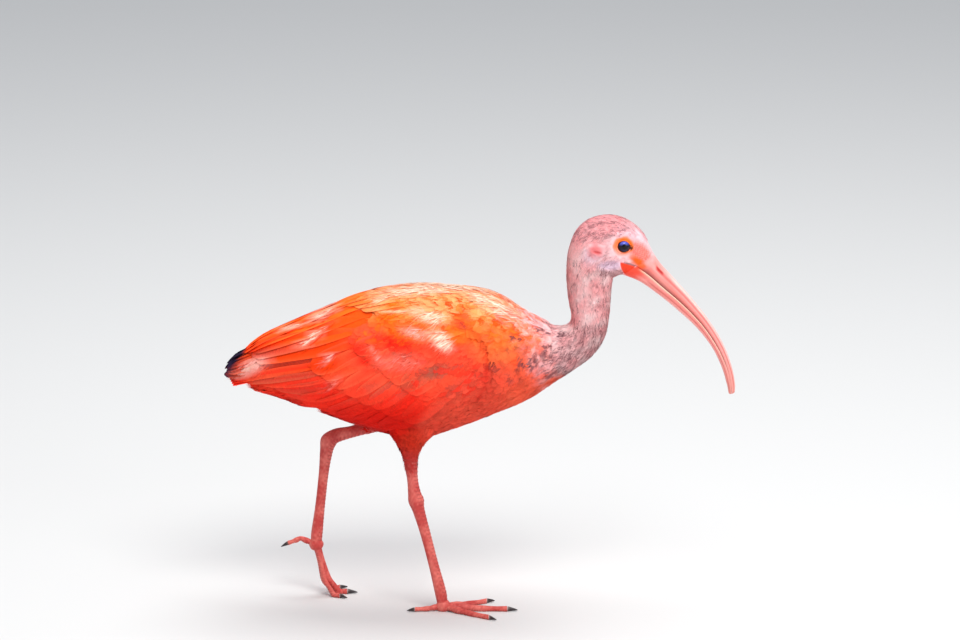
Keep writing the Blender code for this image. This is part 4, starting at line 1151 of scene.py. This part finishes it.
def make_lids(skin):
    """The lids: folds of skin round each eye, from the ball out to the skin of the head."""
    tree = BVHTree.FromObject(skin, bpy.context.evaluated_depsgraph_get())
    turn = circle(LID_POINTS)
    degrees = np.degrees(turn)
    # the opening is round, with a point towards the bill
    corner = bell(((degrees - LID_TILT + 180) % 360 - 180) / 23)
    opening = LID_OPENING + LID_POINT * corner - 0.25 * bell((degrees - 90) / 40)
    low = smooth(0.2, -0.9, np.sin(turn))
    for side, name in SIDES:
        rings, tones = [], []
        for out, height, on_ball in LID_PROFILE:
            reach = opening + out * (1 + 0.02 * np.sin(3 * turn + out))
            x, z = EYE[0] + reach * np.cos(turn), EYE[2] + reach * np.sin(turn)
            ball = EYE[1] + np.sqrt(EYE_RADIUS**2 - np.minimum(reach, EYE_RADIUS) ** 2)
            starts = [Vector((px, side * OUTSIDE, pz)) * MM for px, pz in zip(x, z)]
            hits = [tree.ray_cast(start, Vector((0, -side, 0)))[0] for start in starts]
            skin_y = np.array([abs(hit.y) / MM if hit else 12.0 for hit in hits])
            level = skin_y * (1 - on_ball) + ball * on_ball
            level = np.where(reach < EYE_RADIUS, np.maximum(level, ball - 0.1), level)
            wrinkle = 0.06 * np.sin(14 * turn + 2 * out) + 0.05 * np.sin(23 * turn)
            rings.append(np.stack([x, side * (level + height + wrinkle), z], -1))
            colour = mixed(EYE_RING, head_colour(rings[-1]), smooth(1.0 - 0.8 * low, 3.0, out))
            colour = colour * (1 - 0.16 * smooth(0.4, 1.0, np.sin(5.5 * out)) * smooth(0.5, 1.2, out))
            rim = bell(out / 0.25) + 0.3 * bell((out - 1.0) / 0.2) + corner * smooth(1.6, 0.7, out)
            tones.append(mixed(colour, DARK_RIM, np.clip(0.85 * rim, 0, 1)))
        # the same rings again, deeper, close the mesh
        points = np.concatenate([rings, np.array(rings[::-1]) - SIDE * side * LID_DEPTH])
        tones = np.concatenate([tones, tones[::-1]])
        i = np.arange(LID_POINTS)
        j, last = (i + 1) % LID_POINTS, (len(points) - 1) * LID_POINTS
        faces = [grid_faces(1, len(points), LID_POINTS, closed=True), np.stack([last + i, last + j, j, i], 1)]
        new_piece(f"eyelids_{name}", faces, SKIN, "neck_plumage", points, tones)


BILL_ROWS, BILL_ARC = 150, 26


def bill_grid(upward):
    """Points round one mandible, with a flat side along the mouth. With them come their share of the
    length, their turn about the mouth's plane in radians, and how deep they are in the groove."""
    t = np.linspace(0, len(BILL) - 1, BILL_ROWS)
    row = Surface(BILL[:, :3], BILL[:, 3:], BILL[:, 4]).at(t)
    along, turn = np.meshgrid(t / t[-1], np.linspace(0, math.pi, BILL_ARC), indexing="ij")
    share = along[:, :1]
    back, front = flat_place(row[:, 0], row[:, 1]), flat_place(row[:, 2], row[:, 3])
    mouth = back + (front - back) * row[:, 5:6]
    edge = back if upward else front
    out = unit(edge - mouth)[:, None]
    blunt = np.sqrt(np.clip(1 - ((share - 0.98) / 0.02).clip(0) ** 2, 0.03, 1))  # rounds the tip
    start = (MOUTH_GAP + MOUTH_GAP_MORE * np.sin(math.pi * np.minimum(1.0, 2 * share))) / 2
    rise = start + (norms(edge - mouth)[:, None] - start) * blunt * np.sin(turn) ** 0.9
    width = row[:, 4:5] * blunt
    # a long groove runs down each side, from the nostril almost to the tip
    groove = bell((np.sin(turn) - (0.62 if upward else 0.5)) / 0.09)
    depth = 0.55 * smooth(0.02, 0.12, share) * smooth(1.0, 0.8, share)
    reach = width * np.cos(turn) * (1 - depth * groove / np.maximum(width, 1.0))
    points = mouth[:, None] + out * rise[..., None] + SIDE * reach[..., None]
    rough = 0.05 * ripple(points * (0.3, 1, 0.3), 2.5, 8) * smooth(1.0, 0.97, share)
    return points + out * rough[..., None], along, turn, groove


def make_bill():
    for name, upward in (("bill_upper", True), ("bill_lower", False)):
        points, along, turn, groove = bill_grid(upward)
        level = np.sin(turn)
        streak = ripple(np.stack([along * 9, np.cos(turn) * 4, along * 0], -1), 1.6, 9)
        # where pale painted highlight streaks lie along the bill
        light = smooth(0.1, 0.3, along) * smooth(0.8, 0.5, along)
        if upward:
            slit = oval(points[..., 0], points[..., 2], NOSTRIL, (6.6, 1.2), -48, (0.6, 1.0))
            points = points - SIDE * (np.sign(points[..., 1]) * 0.9 * slit)[..., None]
            mark, ridge_highlight = (NOSTRIL_RED, slit), smooth(0.7, 0.85, level) * smooth(0.12, 0.3, along)
            # a dark band along the upper mandible's edge: painted shadow of the mouth's gap
            lip_shading, lip_shading_colour = bell(level / 0.2), UPPER_LIP_SHADOW
        else:
            mark, ridge_highlight = (GAPE_RED, 0.95 * smooth(0.14, 0.04, along)), 0 * along
            # a cream band along the lower mandible's edge: painted highlight
            lip_shading, lip_shading_colour = bell(level / 0.08), LOWER_LIP_HIGHLIGHT
        # finer lines run along beside the groove; the side below it is redder and darker, a painted shade,
        # and pale streaks mid-bill and along the culmen are painted highlights
        lines = np.sin(level * 34) ** 8 * (0.6 + 0.4 * streak)
        horn = layered(
            BILL_PINK,
            (BILL_TIP, smooth(0.55, 1.0, along)),
            (BILL_HIGHLIGHT, 0.6 * light * np.clip(streak + 0.5, 0, 1)),
            (BILL_STREAK, 0.5 * smooth(0.4, 0.05, along) * np.clip(0.3 - streak, 0, 1)),
            mark,
            (GROOVE_RED, 0.75 * groove * smooth(0.12, 0.2, along)),
            (LINE_RED, 0.35 * lines * smooth(0.1, 0.3, along)),
            (BILL_SIDE_SHADE, 0.45 * smooth(0.6, 0.3, level) * smooth(0.75, 0.4, along)),
            (RIDGE_HIGHLIGHT, 0.4 * ridge_highlight),
        )
        colour = mixed(head_colour(points), horn, smooth(0.015, 0.1, along + 0.02 * streak))
        # the mandible edges' painted shadow above the mouth and painted highlight below it
        colour = mixed(colour, lip_shading_colour, 0.8 * lip_shading * smooth(0.02, 0.1, along) * smooth(0.9, 0.6, along))
        faces, layers = closed_loft(points, colour)
        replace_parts(new_piece(f"{name}_horn", faces, BILL_HORN, "bill", *layers), name)


CLAW_DROP, CLAW_ROWS, CLAW_SIDES = 1.0, 30, 16
PAD_SIZE, PAD_REACH, PAD_STATIONS = 6.0, 6.4, 9
TOE_STATIONS = 7
# Rows and sides of a tube, and how far apart its plates are.
LEG_GRID, TOE_GRID, PAD_GRID = (260, 40, 3.4), (90, 24, 2.3), (30, 28, 50.0)
PLATE_RISE = 0.32


def scuted(points, normal, angle, pitch, front_share):
    """Raises overlapping plates on the front of a leg or the top of a toe."""
    stretch = np.concatenate([[0], np.cumsum(norms(np.diff(points.mean(1), axis=0)))])
    phase = (stretch[:, None] / pitch + 0.15 * np.sin(3 * angle)) % 1.0
    plate = PLATE_RISE * (1 - phase) * smooth(0.0, 0.1, phase)
    front = smooth(front_share - 0.25, front_share + 0.15, np.cos(angle))
    edge = bell(phase / 0.12) + bell((1 - phase) / 0.12)
    return points + normal * (plate * front)[..., None], edge * front


def leg_tube(stations, across, rows, sides, pitch, seed, front_share=0.35, front=0.0, first=0):
    """A scaly closed tube along leg or toe stations. front turns the plates round it, in radians."""
    surface = tube_surface(stations, across)
    points, t, angle = loft_grid(surface, np.linspace(first, surface.last, rows), sides, 0.0)
    normal = surface.directions(t, angle)[2]
    points, edge = scuted(points, normal, angle - front, pitch, front_share)
    points[..., 2] = np.maximum(points[..., 2], 0.0)
    wide, fine = ripple(points, 16, seed), ripple(points, 2.6, seed + 1)
    colour = mixed(LEG_RED, LEG_PALE, np.clip(0.32 + 0.3 * wide + 0.22 * fine, 0, 1))
    return closed_loft(points, mixed(colour, LEG_DARK, np.clip(0.55 * edge, 0, 1)))


def toe_profile(name, length, top):
    """(distance ahead, height) pairs down a toe, from its root at height top to its claw."""
    if top <= HEEL_HEIGHT / 2:
        return [(0, top), (length * 0.3, TOE_LEVEL + 1), (length * 0.6, TOE_LEVEL), (length, TOE_LEVEL)]
    if name == "hind":
        return [(0, top), (14, top + 4.5), (length, top)]
    bend = (0.17 * length, 0.33 * top)
    touch = (bend[0] + 0.22 * top, TOE_LEVEL)
    used = math.dist((0, top), bend) + math.dist(bend, touch)
    return [(0, top), bend, touch, (touch[0] + max(6.0, length - used), TOE_LEVEL)]


def toe_stations(name, root, ahead):
    _, length, _, half_width = TOES[name]
    profile = np.array(toe_profile(name, length, root[2]))
    share = np.linspace(0, 1, TOE_STATIONS)
    number = np.arange(len(profile))
    reach, height = (np.interp(share * number[-1], number, profile[:, k]) for k in (0, 1))
    swell = 1 + 0.1 * (-1.0) ** np.arange(TOE_STATIONS)
    size = half_width * (1.06 - 0.36 * share) * swell
    place = np.array((root[0], root[1], 0)) + ahead * reach[:, None]
    return np.column_stack([place[:, :2], height, size, size])


def make_claw(name, length, stations, across):
    """A curved horn that goes on from the end of a toe."""
    end = stations[-1, :3]
    share = np.linspace(0, 1, 16)
    reach = unit(end - stations[-2, :3]) * (GAP + length * share)[:, None]
    centres = end + reach - np.array((0, 0, 1)) * (CLAW_DROP * share**1.6)[:, None]
    size = stations[-1, 3] * (0.84 * (1 - share) ** 0.8 + 0.08)
    surface = tube_surface(np.column_stack([centres, size, size * 0.85]), across)
    points = loft_grid(surface, np.linspace(0, surface.last, CLAW_ROWS), CLAW_SIDES, 0.0)[0]
    points[..., 2] = np.maximum(points[..., 2], 0.0)
    pale = smooth(0.25, 0.0, np.linspace(0, 1, CLAW_ROWS))[:, None] + np.zeros(CLAW_SIDES)
    faces, layers = closed_loft(points, mixed(CLAW_DARK, CLAW_ROOT, pale))
    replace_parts(new_piece(f"{name}_horn", faces, CLAW_HORN, "claw", *layers), name)


def make_legs():
    for name, run, inward in (("right", RIGHT_LEG, 1), ("left", LEFT_LEG, -1)):
        root = np.array(FOOT_ROOTS[name])
        parts = [leg_tube(run, SIDE, *LEG_GRID, 20, first=THIGH_END - 0.8)]
        for number, (toe, (heading, _, claw, _)) in enumerate(TOES.items()):
            turn = math.radians(heading * inward)
            ahead = np.array((math.cos(turn), math.sin(turn), 0))
            across = np.array((-ahead[1], ahead[0], 0))
            stations = toe_stations(toe, root, ahead)
            parts.append(leg_tube(stations, across, *TOE_GRID, 30 + number, 0.1, math.pi))
            make_claw(f"claw_{toe}_{name}", claw, stations, across)
        size = PAD_SIZE * np.sqrt(1 - np.linspace(-0.985, 0.985, PAD_STATIONS) ** 2)
        pad = np.column_stack([np.tile(root, (PAD_STATIONS, 1)), size, size])
        pad[:, 0] += np.linspace(-PAD_REACH, PAD_REACH, PAD_STATIONS)
        parts.append(leg_tube(pad, SIDE, *PAD_GRID, 40, 2.0))
        faces, layers = joined(parts)
        leg = new_piece(f"leg_{name}", faces, LEG_SKIN, "leg_skin", *layers)
        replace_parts(leg, f"shank_{name}", f"tarsus_{name}", f"foot_{name}")


FOCAL_LENGTH, SENSOR_WIDTH = 200.0, 36.0
IMAGE_WIDTH = 960
PIXEL_SIZE = 0.87  # of the bird's middle plane, in millimetres
AIM = Vector((-1.3, 0.0, 256.4))
FLOOR_REACH = 6.0
LIGHT_AIM = Vector((0, 0, 0.2))


def make_camera():
    data = bpy.data.cameras.new("camera")
    data.lens = FOCAL_LENGTH
    data.sensor_width = SENSOR_WIDTH
    data.clip_end = 100
    camera = placed("camera", data)
    distance = PIXEL_SIZE * IMAGE_WIDTH * FOCAL_LENGTH / SENSOR_WIDTH
    sight = Vector((0, math.cos(CAMERA_TILT), -math.sin(CAMERA_TILT)))
    camera.location = (AIM - sight * distance) * MM
    camera.rotation_euler = (math.pi / 2 - CAMERA_TILT, 0, 0)
    bpy.context.scene.camera = camera


def make_light(name, place, size, power, colour):
    data = bpy.data.lights.new(name, "AREA")
    data.shape = "RECTANGLE"
    data.size, data.size_y = size
    data.energy = power
    data.color = colour
    light = placed(name, data)
    light.location = place
    light.rotation_euler = (LIGHT_AIM - Vector(place)).to_track_quat("-Z", "Y").to_euler()


def make_studio():
    """A pale floor, soft lights and an even surround."""
    mesh = bpy.data.meshes.new("floor")
    corners = [(x * FLOOR_REACH, y * FLOOR_REACH, 0) for x, y in ((-1, -1), (1, -1), (1, 1), (-1, 1))]
    mesh.from_pydata(corners, [], [(0, 1, 2, 3)])
    paper = bpy.data.materials.new("studio_paper")
    paper.use_nodes = True
    noise = node(paper.node_tree, "TexNoise", "Fac", {"Scale": 2.0})
    tone = node(paper.node_tree, "MapRange", "Result", {"To Min": 0.66, "To Max": 0.7, "Value": noise})
    fill(paper.node_tree, paper.node_tree.nodes["Principled BSDF"], {"Roughness": 0.9, "Base Color": tone})
    mesh.materials.append(paper)
    placed("floor", mesh)
    make_light("key", (0.5, -1.8, 2.5), (1.5, 1.2), 58, (1.0, 0.98, 0.94))
    make_light("top", (0.2, 0.5, 2.6), (1.4, 1.4), 40, (1.0, 0.99, 0.97))
    make_light("fill", (1.8, -2.0, 0.9), (1.5, 1.5), 14, (0.95, 0.98, 1.0))
    world = bpy.data.worlds.new("surround")
    world.use_nodes = True
    surround = world.node_tree.nodes["Background"]
    fill(world.node_tree, surround, {"Color": (0.9, 0.94, 1.0, 1.0), "Strength": 0.55})
    bpy.context.scene.world = world
    bpy.context.scene.view_settings.view_transform = "Standard"


def main():
    make_camera()
    make_studio()
    make_lids(make_skin())
    make_eyes()
    make_bill()
    make_legs()
    make_wings()
    lay_halves("lesser_coverts", covert_lie, covert_place, WING_SURFACE, math.radians(118), 0.05)
    make_loose_barbs()
    lay_halves("body_feathers", body_lie, body_place)
    lay_halves("neck_feathers", lambda t, angle: (1, 0, -coat_depth(t), 0.2 * coat_depth(t), 0))
    lay_halves("head_feathers", head_lie, head_place)
    make_thigh_feathers()
    make_tail()
    bpy.context.view_layer.update()


main()
